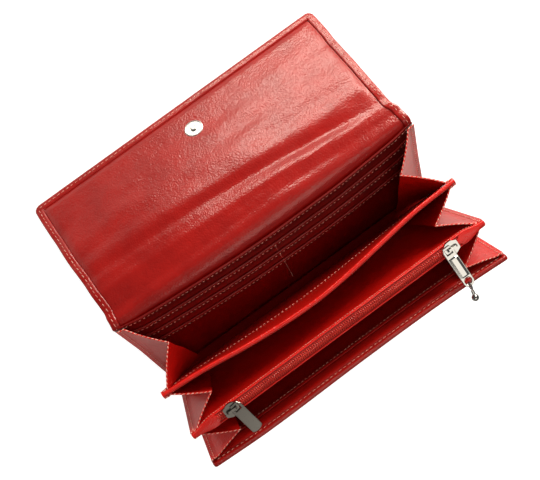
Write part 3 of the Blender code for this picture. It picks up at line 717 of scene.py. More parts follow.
@dataclass(frozen=True)
class Bends:
    """Leather that lies across a joint between two bodies, from start to end in Y and Z; its mesh keeps the
    shape it is drawn in.
    """

    first: str
    second: str
    start: Pair
    end: Pair

    def carry(self, piece: bpy.types.Object) -> None:
        """Bake the piece's place into its mesh; it is hung on neither body.

        Args:
            piece: the piece.
        """
        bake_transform(piece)


@dataclass(frozen=True)
class Folds:
    """Soft leather on one body, beside a panel and a joint that closes the purse; nothing folds it flat."""

    body: str
    joint: str
    panel: Panel
    keep: float
    anchor_depth: float = 0.0
    anchor_height: float = 40.0

    def carry(self, piece: bpy.types.Object) -> None:
        """Hang the piece on its body and give it a mesh of its own.

        Args:
            piece: the piece.
        """
        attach(piece, self.body)
        anchor = self.panel.at(HALF_LENGTH, self.anchor_height, self.anchor_depth) * MM
        tuple(self.panel.normal())
        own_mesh(piece)


Carrier = Rides | Bends | Folds
BOTTOM_EDGE = (7.5, 1.2)
FOOT_BEND = 7.0
ON_BACK_FOOT = Bends("base", "back_panel", BOTTOM_EDGE, BACK_WRAP.spot(BACK_WRAP.hinge + FOOT_BEND))
ON_FRONT_FOOT = Bends("base", "front_panel", (-BOTTOM_EDGE[0], BOTTOM_EDGE[1]),
                      FRONT_WRAP.spot(FRONT_WRAP.hinge + FOOT_BEND))
ON_SPINE = Bends("back_panel", "spine", BACK_WRAP.spot(BACK_WRAP.top - 2), BACK_WRAP.spot(BACK_WRAP.top + 15))
ON_FLAP = Bends("spine", "flap", BACK_WRAP.spot(BACK_WRAP.top + 21), BACK_WRAP.spot(BACK_WRAP.top + 38))
# Where the cover is parted into lengths, each of which bends over one fold
SPLIT_LOW = BACK_WRAP.hinge + 45
SPLIT_HIGH = BACK_WRAP.top + 18


# Mesh makers


def piece_from(form: bmesh.types.BMesh, name: str, material: bpy.types.Material, carrier: Carrier,
               stands_for: Sequence[str] = ()) -> bpy.types.Object:
    """Turn a mesh drawn in millimetres into a piece that moves with its carrier.

    Args:
        form: the mesh, which is freed here.
        name: the piece's name.
        material: its finish.
        carrier: how it moves.
        stands_for: the CAD nodes that it replaces.

    Returns:
        The new object.
    """
    bmesh.ops.scale(form, vec=(MM, MM, MM), verts=form.verts)
    mesh = bpy.data.meshes.new(name)
    form.to_mesh(mesh)
    form.free()
    mesh.materials.append(material)
    thing = bpy.data.objects.new(name, mesh)
    bpy.context.scene.collection.objects.link(thing)
    carrier.carry(thing)
    if stands_for:
        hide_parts(*stands_for)
    log.info("%s: %d faces", name, len(mesh.polygons))
    return thing


def soften(thing: bpy.types.Object, thickness: float, edge: float) -> None:
    """Give an open sheet its thickness and rounded rims.

    Args:
        thing: the sheet.
        thickness: the leather's thickness.
        edge: how wide its rims are rounded.
    """
    skin = thing.modifiers.new("Thickness", "SOLIDIFY")
    skin.thickness = thickness * MM
    skin.offset = 0
    round_off = thing.modifiers.new("Rounded rim", "BEVEL")
    round_off.width = edge * MM
    round_off.segments = 2
    round_off.limit_method = "ANGLE"
    round_off.angle_limit = radians(50)
    thing.modifiers.new("Normals", "WEIGHTED_NORMAL")


def bridge(form: bmesh.types.BMesh, first: Sequence, second: Sequence, closed: bool = False) -> None:
    """Join two rings of vertices with smooth quads.

    Args:
        form: the mesh that takes it.
        first: a row of vertices.
        second: the row beside it.
        closed: whether the rows are rings.
    """
    count = len(first)
    for i in range(count if closed else count - 1):
        j = (i + 1) % count
        form.faces.new((first[i], first[j], second[j], second[i])).smooth = True


def cap(form: bmesh.types.BMesh, ring: Sequence, crisp: bool = True) -> None:
    """Close a ring of vertices with one face: flat with crisp edges, or smooth.

    Args:
        form: the mesh that takes it.
        ring: the vertices round it.
        crisp: whether it is flat with crisp edges.
    """
    face = form.faces.new(ring)
    face.smooth = not crisp
    for edge in face.edges if crisp else ():
        edge.smooth = False


def tube(form: bmesh.types.BMesh, rings: Sequence[Sequence], crisp: bool = True) -> None:
    """Join closed rings of vertices into one solid with an end face at each end.

    Args:
        form: the mesh that takes it.
        rings: the rings, from one end to the other.
        crisp: whether an end face is flat with crisp edges.
    """
    for first, last in zip(rings, rings[1:]):
        bridge(form, first, last, closed=True)
    cap(form, rings[0], crisp)
    cap(form, list(reversed(rings[-1])), crisp)


def hexagon(form: bmesh.types.BMesh, centre: Vector, across: Vector, other: Vector, radius: float) -> list:
    """Add the six corners of a thin cord's section."""
    turns = [pi * k / 3 for k in range(6)]
    return [form.verts.new(centre + (across * cos(turn) + other * sin(turn)) * radius) for turn in turns]


def sweep(xs: Sequence[float], section: Callable[[float], list[Pair]], place: Mapper) -> bmesh.types.BMesh:
    """Run a closed section of (height, depth) points along X as a solid with flat ends.

    Args:
        xs: the places along X.
        section: gives the section at an X.
        place: turns (X, height, depth) into a point.

    Returns:
        The mesh.
    """
    form = bmesh.new()
    tube(form, [[form.verts.new(place(x, height, depth)) for height, depth in section(x)] for x in xs])
    bmesh.ops.recalc_face_normals(form, faces=form.faces)
    return form


def solid_sheet(rows: Sequence[Sequence[tuple[Vector, Vector]]]) -> bmesh.types.BMesh:
    """Close a grid of (face, back) point pairs into a solid sheet whose rim edges are crisp.

    Args:
        rows: the grid's rows of (face, back) pairs.

    Returns:
        The mesh.
    """
    form = bmesh.new()
    faces, backs = ([[form.verts.new(pair[n]) for pair in row] for row in rows] for n in (0, 1))
    for grid in (faces, backs):
        for first, last in zip(grid, grid[1:]):
            bridge(form, first, last)
    rims = ([grid[0], grid[-1], [row[0] for row in grid], [row[-1] for row in grid]]
            for grid in (faces, backs))
    for face_edge, back_edge in zip(*rims):
        bridge(form, face_edge, back_edge)
        for line in (face_edge, back_edge):
            for a, b in zip(line, line[1:]):
                form.edges.get((a, b)).smooth = False
    bmesh.ops.recalc_face_normals(form, faces=form.faces)
    return form


def hemmed(low: float, high: float, face: float, thickness: float, hem: float,
           swell: float) -> list[Pair]:
    """Return the section of a leather sheet whose top edge is folded over as a thicker hem.

    Args:
        low: height of its foot.
        high: height of its top edge.
        face: depth of its face towards the front.
        thickness: its thickness, towards the back.
        hem: height of the hem.
        swell: how far the hem stands out to the front.

    Returns:
        The section's (height, depth) points.
    """
    front = [(h, face) for h in spread(low, high - hem - 0.3, 10)]
    front += [(high - hem, face - swell * 0.7), (high - hem + 0.4, face - swell), (high - 0.55, face - swell)]
    front += [(high - 0.15, face - swell + 0.22), (high, face + thickness * 0.4)]
    front += [(high - 0.2, face + thickness)]
    back = [(h, face + thickness) for h in spread(high - 1.0, low, 10)]
    return front + back


@dataclass(frozen=True)
class Stitch:
    """A row's kind of stitch: pitch, length, thickness of the thread and slant off the row in degrees."""

    pitch: float
    length: float
    width: float = 0.34
    slant: float = 5.0

    def one(self, form: bmesh.types.BMesh, place: Vector, along: Vector, out: Vector) -> None:
        """Add one stitch: a short cord that dives into the leather at both ends.

        Args:
            form: the mesh that takes it.
            place: its middle.
            along: the way that it runs.
            out: the way out of the leather.
        """
        across = along.cross(out).normalized()
        rings = []
        for share in (-0.5, -0.36, -0.12, 0.12, 0.36, 0.5):
            lift = self.width * (0.42 - 3.4 * share * share)
            size = self.width / 2 * (1 - 1.6 * share * share)
            rings.append(hexagon(form, place + along * (self.length * share) + out * lift, across, out, size))
        tube(form, rings, crisp=False)

    def sew(self, name: str, path: Path, carrier: Carrier) -> None:
        """Sew a row of stitches.

        Args:
            name: the row's name.
            path: its points in order, each with its outward direction.
            carrier: how the leather under it moves.
        """
        form = bmesh.new()
        wait = self.pitch / 2
        for (a, out), (b, _) in zip(path, path[1:]):
            run = (b - a).length
            if run < 1e-6:
                continue
            along = (b - a) / run
            while wait <= run:
                lean = Matrix.Rotation(radians(self.slant), 3, out)
                self.one(form, a + along * wait, lean @ along, out)
                wait += self.pitch
            wait -= run
        bmesh.ops.recalc_face_normals(form, faces=form.faces)
        piece_from(form, name, THREAD, carrier)


FLAP_STITCH = Stitch(3.0, 2.1)
FRONT_STITCH = Stitch(2.9, 2.0)
CARD_STITCH = Stitch(2.6, 1.7, 0.42)
PLAIN_STITCH = Stitch(2.4, 1.5, 0.3)
SLIP_STITCH = Stitch(2.4, 1.6, 0.32)
TIGHT_STITCH = Stitch(1.5, 1.0, 0.3)
ZIP_STITCH = Stitch(1.6, 1.1, 0.3)
HEM_STITCH = Stitch(2.3, 1.7, 0.55, 16.0)
FLANGE_STITCH = Stitch(2.7, 1.9, 0.4)

# A point of a turned edge's rim: its row, its column, its place across and along, and its way out
Rim = tuple[int, int, float, float, Pair]


@dataclass
class TurnedSheet:
    """A cover whose edges are turned over onto its inside as a flat stitched lip.

    Place turns (across, along, depth) into a point, half gives the half width at a run and a
    side, and lip gives the lip's height at a run. A sheet with a free end has a turned edge
    there too, with round corners.
    """

    name: str
    place: Mapper
    start: float
    end: float
    half: Callable[[float, int], float]
    lip: Callable[[float], float]
    corner: float = 0.0
    free_end: bool = False
    lip_width: float = 4.5
    row_step: float = 1.2
    thickness: float = 1.2
    inner_corner: float = 0.4
    corner_steps: int = 10
    columns: int = 76

    def rows(self) -> list[Triple]:
        """Return the flat part's rows: the run, the cut at both sides and the turn round the corner.

        Returns:
            The rows, from the start to the end.
        """
        straight = self.end - (self.lip_width + self.inner_corner if self.free_end else 0.0)
        count = max(2, round((straight - self.start) / self.row_step))
        made = [(run, 0.0, 0.0) for run in spread(self.start, straight, count)]
        if self.free_end:
            made += [(straight + self.inner_corner * sin(turn), self.inner_corner * (1 - cos(turn)), turn)
                     for turn in spread(0, pi / 2, self.corner_steps)[1:]]
        return made

    def across(self, run: float, cut: float) -> list[float]:
        """Return the places across one row, closer together near its sides.

        Args:
            run: the row's run.
            cut: what its two sides lose.

        Returns:
            The places, from left to right.
        """
        left = -(self.half(run, -1) - self.lip_width - cut)
        right = self.half(run, 1) - self.lip_width - cut
        shares = [0.0, 0.012, 0.03] + spread(0.06, 0.94, self.columns - 6) + [0.97, 0.988, 1.0]
        return [left + (right - left) * share for share in shares]

    def rim(self, rows: Sequence[Triple], side: int) -> list[Rim]:
        """Return the rim of one side, from the start to the end.

        Args:
            rows: the flat part's rows.
            side: -1 for the left or 1 for the right.

        Returns:
            The rim's points.
        """
        made = []
        column = 0 if side < 0 else -1
        for j, (run, cut, turn) in enumerate(rows):
            far = corner_reach(turn, self.lip_width, self.corner)
            way = (side * cos(turn) * far, sin(turn) * far)
            made.append((j, column, self.across(run, cut)[column], run, way))
        return made

    def rims(self, rows: Sequence[Triple]) -> list[list[Rim]]:
        """Return the rims that are turned over: one round a free end, or else one up each side.

        Args:
            rows: the flat part's rows.

        Returns:
            The rims.
        """
        left, right = self.rim(rows, -1), self.rim(rows, 1)[::-1]
        if not self.free_end:
            return [left, right]
        run, cut, _ = rows[-1]
        far_end = [(len(rows) - 1, i, x, run, (0.0, 1.0)) for i, x in enumerate(self.across(run, cut))]
        return [left[:-1] + far_end + right[1:]]

    def loop(self, form: bmesh.types.BMesh, rim: Rim) -> list[bmesh.types.BMVert]:
        """Add the section of the turned edge that goes out from one point of a rim and back under it.

        Args:
            form: the mesh that takes it.
            rim: the point of the rim.

        Returns:
            The section's vertices.
        """
        _, _, x, run, (ox, oy) = rim
        w, t, high = self.lip_width, self.thickness, self.lip(run)
        section = [(w - 0.7, t), (w - 0.2, t - 0.22), (w, t - 0.6), (w, 0.0),
                   (w, -high + 0.5), (w - 0.18, -high + 0.14), (w - 0.6, -high), (w / 2 + 0.3, -high - 0.06),
                   (w / 2 - 0.3, -high - 0.02), (0.9, -high - 0.03), (0.3, -high + 0.1), (0.0, -high + 0.4)]
        made = []
        for out, depth in section:
            at = (x + ox * out, run + oy * out)
            gather = pleat(at, out, depth, atan2(oy, abs(ox)), w)
            made.append(form.verts.new(self.place(*at, depth + gather)))
        return made

    def build(self, carrier: Carrier, stands_for: Sequence[str]) -> None:
        """Make the cover as one piece that stands for some CAD nodes.

        Args:
            carrier: how it moves.
            stands_for: the CAD nodes that it replaces.
        """
        form, rows = bmesh.new(), self.rows()
        outer, inner = ([[form.verts.new(self.place(x, run, depth)) for x in self.across(run, cut)]
                         for run, cut, _ in rows] for depth in (self.thickness, 0.0))
        for grid in (outer, inner):
            for first, last in zip(grid, grid[1:]):
                bridge(form, first, last)
        ends = []
        for strip in self.rims(rows):
            loops = [self.loop(form, rim) for rim in strip]
            lines = [[outer[j][i], *loop, inner[j][i]] for (j, i, *_), loop in zip(strip, loops)]
            for first, last in zip(lines, lines[1:]):
                bridge(form, first, last)
            ends += [loops[0], loops[-1]]
        cap(form, [*outer[0], *ends[-1], *reversed(inner[0]), *reversed(ends[0])])
        if not self.free_end:
            cap(form, [*outer[-1], *ends[2], *reversed(inner[-1]), *reversed(ends[1])])
        bmesh.ops.recalc_face_normals(form, faces=form.faces)
        piece_from(form, self.name, DEEP, carrier, stands_for)


def corner_reach(turn: float, width: float, corner: float) -> float:
    """Return how much further than a straight lip a lip reaches round a corner, in lip widths.

    Args:
        turn: the angle round the corner.
        width: the lip's width.
        corner: the corner's radius.

    Returns:
        The reach, which is 1 on a straight.
    """
    if not 0 < turn < pi / 2:
        return 1.0
    side = width - corner
    low = min(turn, pi / 2 - turn)
    if width * sin(low) / cos(low) <= side:
        return 1 / cos(low)
    middle = side * (cos(turn) + sin(turn))
    return (middle + (middle * middle - 2 * side * side + corner * corner) ** 0.5) / width


def pleat(at: Pair, out: float, depth: float, turn: float, width: float) -> float:
    """Return the depth of the small gathers in a turned edge, strongest where it goes round a corner.

    Args:
        at: the place across and along.
        out: how far out from the rim the point lies.
        depth: its depth without gathers.
        turn: the angle round the corner.
        width: the lip's width.

    Returns:
        The depth to add, which is 0 on the outside of the cover.
    """
    if depth > -0.5 or out < 0.5:
        return 0.0
    gather = sin(min(max(turn, 0.0), pi / 2) * 18) if 0.02 < turn < pi / 2 - 0.02 else 0.0
    pucker = 0.10 * ripple((*at, 7), 1.3) + 0.12 * ripple((*at, 1), 5.0)
    return (0.30 * gather + pucker) * smooth(0.4, 1.2, out) * (1 - smooth(width - 0.7, width, out) * 0.5)


# Cover and flap


@dataclass
class FlapAndCover:
    """The outer leather from the flap's edge round the back, its linings and its stitching.

    Edge gives, past the crest, the half width on the left and on the right.
    """

    lip_width: float = 4.5
    corner: float = 3.6
    lining_gap: float = 0.25
    lining_thickness: float = 0.8
    lining_corner: float = 1.8
    stitch_inset: float = 2.3
    end: float = BACK_WRAP.reach[-1]
    edge: tuple[Triple, ...] = (
        (-40.0, 94.6, 93.2), (-8.0, 95.2, 94.2), (2.0, 95.4, 94.4), (12.0, 94.6, 93.4), (16.5, 93.8, 91.6),
        (30.0, 94.2, 91.8), (60.0, 95.8, 92.8), (92.0, 96.6, 94.0))

    def half(self, run: float, side: int) -> float:
        """Return the half width of the leather at a run along the wrap."""
        values = [(past, left if side < 0 else right) for past, left, right in self.edge]
        return table(values, run - BACK_WRAP.top) + 0.12 * ripple((run, side * 50, 0), 9)

    def lip(self, run: float) -> float:
        """Return the lip's height: thin behind the card panel, thicker over the flap."""
        return 1.1 + 0.55 * smooth(BACK_WRAP.top - 8, BACK_WRAP.top + 6, run)

    def build(self) -> None:
        """Make the three lengths of cover, the linings and the stitch rows."""
        lower = TurnedSheet("back_cover_lower_leather", BACK_WRAP.at, 0.0, SPLIT_LOW, self.half, self.lip,
                            row_step=1.6)
        lower.build(ON_BACK_FOOT, ["bottom_cover"])
        upper = TurnedSheet("back_cover_upper_leather", BACK_WRAP.at, SPLIT_LOW, SPLIT_HIGH, self.half,
                            self.lip)
        upper.build(ON_SPINE, ["back_cover", "back_board", "spine_cover", "back_fold_roll", "flap_fold_roll"])
        flap = TurnedSheet("flap_cover_leather", BACK_WRAP.at, SPLIT_HIGH, self.end, self.half, self.lip,
                           self.corner, free_end=True)
        flap.build(ON_FLAP, ["flap_cover", "flap_binding", "flap_board"])
        for name, rows, carrier, nodes in (
            ("back_and_spine_lining_leather", self.lining_rows(BACK_WRAP.hinge + 5, SPLIT_HIGH, False),
             ON_SPINE, ["back_lining", "spine_lining"]),
            ("flap_lining_leather", self.lining_rows(SPLIT_HIGH, self.end, True), ON_FLAP, ["flap_lining"]),
        ):
            form = solid_sheet([[self.lining_pair(x, run) for x in xs] for run, xs in rows])
            piece_from(form, name, DEEP, carrier, nodes)
        for side in Side:
            FLAP_STITCH.sew(f"spine_edge_stitches_{side.label}",
                            self.lip_path(BACK_WRAP.top - 1, SPLIT_HIGH, side.value), ON_SPINE)
        FLAP_STITCH.sew("flap_edge_stitches", self.flap_path(), ON_FLAP)

    def lining_rows(self, start: float, stop: float, free: bool) -> list[tuple[float, list[float]]]:
        """Return the rows of a lining, each one's run and places across; a free end has round corners.

        Args:
            start: the run where the lining starts.
            stop: the run where it stops.
            free: whether it stops at the flap's free edge.

        Returns:
            The rows.
        """
        gap_width = self.lip_width + self.lining_gap
        corner = self.lining_corner if free else 0.0
        straight = (stop - gap_width if free else stop) - corner
        places = [(run, 0.0) for run in spread(start, straight, max(2, round((straight - start) / 1.2)))]
        if free:
            places += [(straight + corner * sin(t), corner * (1 - cos(t))) for t in spread(0, pi / 2, 4)[1:]]
        shares = [0.0, 0.006, 0.015, 0.03] + spread(0.05, 0.95, 84) + [0.97, 0.985, 0.994, 1.0]
        rows = []
        for run, cut in places:
            left, right = -(self.half(run, -1) - gap_width - cut), self.half(run, 1) - gap_width - cut
            rows.append((run, [left + (right - left) * share for share in shares]))
        return rows

    def lining_pair(self, x: float, run: float) -> tuple[Vector, Vector]:
        """Return the two faces' points of the lining: padded by the board, thin at its edges.

        Args:
            x: the place along the purse.
            run: how far along the line.

        Returns:
            The inner face's point and the outer face's.
        """
        rise = run - BACK_WRAP.top
        inset = self.half(run, 1 if x > 0 else -1) - self.lip_width - abs(x)
        near = min(inset, self.end - self.lip_width - run)
        pad = 1.15 * smooth(14, 40, rise) + 0.9 * (1 - smooth(-6, 6, rise))
        depth = -0.45 - pad * smooth(-1.0, 4.0, near) - 0.15 * smooth(0, 3, near)
        half = self.lining_thickness / 2
        return BACK_WRAP.at(x, run, depth - half), BACK_WRAP.at(x, run, depth + half)

    def on_lip(self, x: float, run: float, lip_run: float, way_run: float) -> tuple[Vector, Vector]:
        """Return a point just on the lip, and the way out of it."""
        return BACK_WRAP.at(x, run, -self.lip(lip_run) - 0.02), -BACK_WRAP.direction(way_run)

    def lip_path(self, start: float, stop: float, side: int) -> Path:
        """Return the path of a stitch row on the lip of one side."""
        runs = spread(start, stop, max(2, round(abs(stop - start))))
        return [self.on_lip(side * (self.half(run, side) - self.stitch_inset), run, run, run) for run in runs]

    def flap_path(self) -> Path:
        """Return the path of the stitch row round the flap: up one side, along the free edge and back.

        Returns:
            The path.
        """
        end = self.end
        radius = self.corner + 0.6 - self.stitch_inset
        stop = end - self.stitch_inset - radius
        turns = spread(0, pi / 2, 6)

        def middle(side: int) -> float:
            """Return how far across the middle of a corner's turn lies."""
            return self.half(end, side) - self.stitch_inset - radius

        def corner(side: int, angles: Sequence[float]) -> Path:
            """Return the path round a corner."""
            return [self.on_lip(side * (middle(side) + radius * cos(turn)), stop + radius * sin(turn),
                                end, end - 5) for turn in angles]

        up = self.lip_path(SPLIT_HIGH, stop, -1) + corner(-1, turns[1:])
        edge = [self.on_lip(x, stop + radius, end, end - 5)
                for x in spread(up[-1][0].x, middle(1), 90)[1:]]
        return up + edge + corner(1, turns[-2::-1]) + self.lip_path(SPLIT_HIGH, stop, 1)[::-1]


# Card pockets


@dataclass
class CardPockets:
    """Four card pockets that step down the inside of the back panel."""

    count: int = 4
    first_top: float = 90.0
    step: float = 11.7
    foot: float = 8.0
    first_face: float = 2.2
    pitch: float = 0.8
    thickness: float = 0.6
    hem: float = 2.2
    hem_swell: float = 0.5
    stitch_drop: float = 3.2
    centre_foot: float = 20.0
    centre: float = -1.0

    def face(self, number: int) -> float:
        """Return the depth of a pocket's face."""
        return -self.first_face - number * self.pitch - self.thickness

    def top(self, number: int) -> float:
        """Return the height of a pocket's top edge."""
        return self.first_top - number * self.step

    def sag(self, x: float, number: int) -> float:
        """Return how far a pocket's top edge is off its straight line."""
        return 0.5 * ripple((x, self.top(number), 5), 26)

    def section(self, x: float, number: int) -> list[Pair]:
        """Return a pocket's section at an X."""
        top = self.top(number) + self.sag(x, number)
        return hemmed(self.foot, top, self.face(number), self.thickness, self.hem, self.hem_swell)

    def build(self) -> None:
        """Make the pockets, their hem stitches and the stitched line that parts them."""
        carrier = Rides("back_panel")
        for number in range(self.count):
            form = sweep(spread(-INNER_HALF, INNER_HALF, 80), lambda x: self.section(x, number), BACK.at)
            name = f"card_pocket_{number + 1}"
            # The pockets take the darker copy of the hide, which paints the shade that falls inside them
            piece_from(form, f"{name}_leather", SHADED_POCKET_RED, carrier,
                       [f"card_slot_{number + 1}"])
            row, face = self.top(number) - self.stitch_drop, self.face(number)
            path = [(BACK.at(x, row + self.sag(x, number), face), -BACK.normal())
                    for x in spread(4 - INNER_HALF, INNER_HALF - 4, 120)]
            CARD_STITCH.sew(f"{name}_stitches", path, carrier)
        path = []
        for number in range(1, self.count):
            low = self.top(number + 1) if number + 1 < self.count else self.centre_foot
            path += [(BACK.at(self.centre, h, self.face(number)), -BACK.normal())
                     for h in spread(self.top(number), low + 0.2, 8)]
        PLAIN_STITCH.sew("card_pocket_centre_stitches", path, carrier)


# Divider


@dataclass
class DividerLeaf:
    """The soft divider: leather folded over its top edge as a full round roll, bowed to the front."""

    height: float = 86.5
    thickness: float = 1.15
    roll: float = 1.3
    foot: float = 0.8
    back_row_drop: float = 27.0
    edge_row_drop: float = 0.9
    edge_row_way: Triple = (0, -0.5, 0.87)

    def section(self, _: float) -> list[Pair]:
        """Return the leaf's section, the same all along: up the back, over the roll and down the front.

        Args:
            _: the place along the purse, which changes nothing.

        Returns:
            The section's (height, depth) points.
        """
        top = self.height - self.roll
        back = [(h, self.thickness) for h in spread(self.foot, top - 6, 22)]
        back += [(top - 3, self.thickness + 0.12), (top - 1.2, self.roll - 0.1)]
        crown = [(top + self.roll * sin(t), self.roll * cos(t)) for t in spread(0, pi, 10)]
        return back + crown + [(h, -d) for h, d in reversed(back)]

    def build(self) -> None:
        """Make the leaf and its stitch rows."""
        carrier = Folds("divider", "concertina", DIVIDER, keep=0.2)
        form = sweep(spread(-INNER_HALF, INNER_HALF, 80), self.section, DIVIDER.at)
        piece_from(form, "divider_leather", RED, carrier, ["divider_skin", "divider_board"])
        for label, drop, depth, way, kind in (
            ("edge", self.edge_row_drop, -self.roll * 0.8, Vector(self.edge_row_way), TIGHT_STITCH),
            ("back", self.back_row_drop, self.thickness, DIVIDER.normal(), PLAIN_STITCH),
        ):
            path = [(DIVIDER.at(x, self.height - drop, depth), way)
                    for x in spread(5 - INNER_HALF, INNER_HALF - 5, 120)]
            kind.sew(f"divider_{label}_stitches", path, carrier)


# Zip pocket


@dataclass
class ZipPocket:
    """The coin pocket between two leather walls, with its coil and end patches.

    Loop is the route of one coil loop over the tape: along, up and out from the middle.
    """

    height: float = 88.5
    half_top: float = 3.3
    half_foot: float = 1.3
    pinched: float = 1.25
    wall: float = 0.9
    coil_half: float = 78.0
    coil_pitch: float = 1.25
    coil_wire: float = 0.28
    tape_top: float = 88.2
    patch: tuple[float, ...] = (77.0, 78.0, 79.5, 81.5, 84.0, 87.0, 90.0, 93.0, 94.2)
    loop: tuple[Triple, ...] = ((-0.35, 1.5, 0.15), (-0.3, 1.45, 0.75), (-0.12, 1.0, 1.1), (0.0, 0.3, 1.15),
                                (0.05, -0.35, 0.95), (0.08, -0.5, 0.6), (0.05, -0.3, 0.3))

    def wall_at(self, height: float, x: float = 0.0) -> float:
        """Return the pocket's half thickness at a height; it is pinched where the gussets are sewn on."""
        full = self.half_foot + (self.half_top - self.half_foot) * height / self.height
        return full + (min(full, self.pinched) - full) * smooth(81, 93, abs(x))

    def section(self, x: float, side: int) -> list[Pair]:
        """Return the section of one wall at an X: its face, its rounded top and its inside.

        Args:
            x: the place along the purse.
            side: 1 for the back wall or -1 for the front one.

        Returns:
            The section's (height, depth) points.
        """
        top = self.wall_at(self.height, x)
        wall = self.wall - 0.3 * smooth(84, 93, abs(x))
        face = [(h, self.wall_at(h, x) + 0.12 * smooth(84, 87, h))
                for h in spread(1.0, self.height - 0.5, 24)]
        crown = [(self.height, top - 0.1), (self.height + 0.1, top - 0.5 * wall)]
        crown += [(self.height - 0.2, top - wall)]
        inner = [(h, self.wall_at(h, x) - wall) for h in spread(self.height - 1, 1.0, 24)]
        return [(h, side * d) for h, d in face + crown + inner]

    def build(self) -> None:
        """Make the walls with their stitches, the coil and the end patches."""
        carrier = Rides("zip_pocket")
        row = self.height - 2.0
        for label, side in (("back", 1), ("front", -1)):
            form = sweep(spread(-INNER_HALF, INNER_HALF, 80), lambda x: self.section(x, side), POCKET.at)
            piece_from(form, f"zip_pocket_{label}_leather", RED, carrier,
                       [f"zip_pocket_{label}"])
            path = [(POCKET.at(x, row, side * (self.wall_at(row, x) + 0.1)), POCKET.normal() * side)
                    for x in spread(4 - INNER_HALF, INNER_HALF - 4, 120)]
            ZIP_STITCH.sew(f"zip_pocket_{label}_stitches", path, carrier)
        for label, side, early in (("back", 1, 0.25), ("front", -1, 0.75)):
            form = bmesh.new()
            for n in range(int(2 * self.coil_half / self.coil_pitch)):
                self.add_loop(form, -self.coil_half + (n + early) * self.coil_pitch, side)
            bmesh.ops.recalc_face_normals(form, faces=form.faces)
            piece_from(form, f"zip_coil_{label}", NYLON, carrier, [f"zip_teeth_{label}"])
        for end in Side:
            self.end_patch(end, carrier)

    def end_patch(self, side: Side, carrier: Carrier) -> None:
        """Lay the folded leather patch over one end of the zip: it narrows to the pinched end.

        Args:
            side: the end.
            carrier: how it moves.
        """
        rows = []
        for x in self.patch:
            half = min(self.wall_at(self.height, x) - 0.15, 1.0 + (x - self.patch[0]) * 0.9)
            rise = 0.75 - 0.1 * smooth(88, 94, x)
            rows.append([tuple(POCKET.at(side.value * x, self.height + lift - 0.25 * k * k, half * k)
                               for lift in (rise, -0.05)) for k in spread(-1, 1, 8)])
        name = f"zip_end_patch_{side.label}"
        piece_from(solid_sheet(rows), f"{name}_leather", RED, carrier, [name])

    def add_loop(self, form: bmesh.types.BMesh, start: float, side: int) -> None:
        """Add one loop of the coil: up over the tape, past the middle and back.

        Args:
            form: the mesh that takes it.
            start: its place along the zip.
            side: 1 for the back row or -1 for the front one.
        """
        points = [POCKET.at(start + a, self.tape_top + h, side * d) for a, d, h in self.loop]
        rings = []
        for i, point in enumerate(points):
            along = (points[min(i + 1, len(points) - 1)] - points[max(i - 1, 0)]).normalized()
            across = along.cross(Vector((1, 0.1, 0))).normalized()
            rings.append(hexagon(form, point, across, along.cross(across), self.coil_wire))
        tube(form, rings)


# Front panel


@dataclass
class FrontPanel:
    """The front: cover turned over its top edge, lining, slip pocket and stitching."""

    top: float = 90.5
    half_width: float = 94.8
    lip_width: float = 4.0
    lip_height: float = 1.45
    corner: float = 1.3
    lining_half: float = 90.4
    slip_half: float = 90.2
    slip_top: float = 77.5
    slip_foot: float = 6.0
    slip_face: float = 2.8
    slip_row_drop: float = 3.0
    edge_row_drop: float = 2.2

    def half(self, run: float, side: int) -> float:
        """Return the half width of the front cover."""
        return self.half_width + 0.1 * ripple((run, side * 70, 3), 11)

    def lining(self, _: float) -> list[Pair]:
        """Return the lining's section.

        Args:
            _: the place along the purse, which changes nothing.

        Returns:
            The section's (height, depth) points.
        """
        low, high = 3.0, self.top - self.lip_width - 0.2
        inner = [(h, 1.85 - 0.5 * smooth(high - 4, high, h)) for h in spread(low, high, 22)]
        return inner + [(h, 0.6) for h in spread(high, low, 10)]

    def slip(self, _: float) -> list[Pair]:
        """Return the slip pocket's section."""
        return [(h, -d) for h, d in hemmed(self.slip_foot, self.slip_top, -self.slip_face, 0.6, 2.4, 0.15)]

    def build(self) -> None:
        """Make the cover, the lining and the slip pocket, and sew them."""
        TurnedSheet("front_cover_leather", FRONT_WRAP.at, 0.0, FRONT_WRAP.reach[-1], self.half,
                    lambda run: self.lip_height, self.corner, free_end=True, lip_width=self.lip_width,
                    row_step=1.6).build(ON_FRONT_FOOT, ["front_cover", "front_board"])
        rides, out = Rides("front_panel"), FRONT.normal()
        form = sweep(spread(-self.lining_half, self.lining_half, 60), self.lining, FRONT.at)
        piece_from(form, "front_lining_leather", DEEP, rides, ["front_lining"])
        form = sweep(spread(-self.slip_half, self.slip_half, 60), self.slip, FRONT.at)
        piece_from(form, "front_slip_pocket_leather", DEEP, rides, ["front_slip_pocket"])
        for name, half, height, depth, kind in (
            ("front_slip_pocket", 86, self.slip_top - self.slip_row_drop, self.slip_face, SLIP_STITCH),
            ("front_edge", 92, self.top - self.edge_row_drop, 1.5, FRONT_STITCH),
        ):
            path = [(FRONT.at(x, height, depth), out) for x in spread(-half, half, 90)]
            kind.sew(f"{name}_stitches", path, rides)


# Gussets


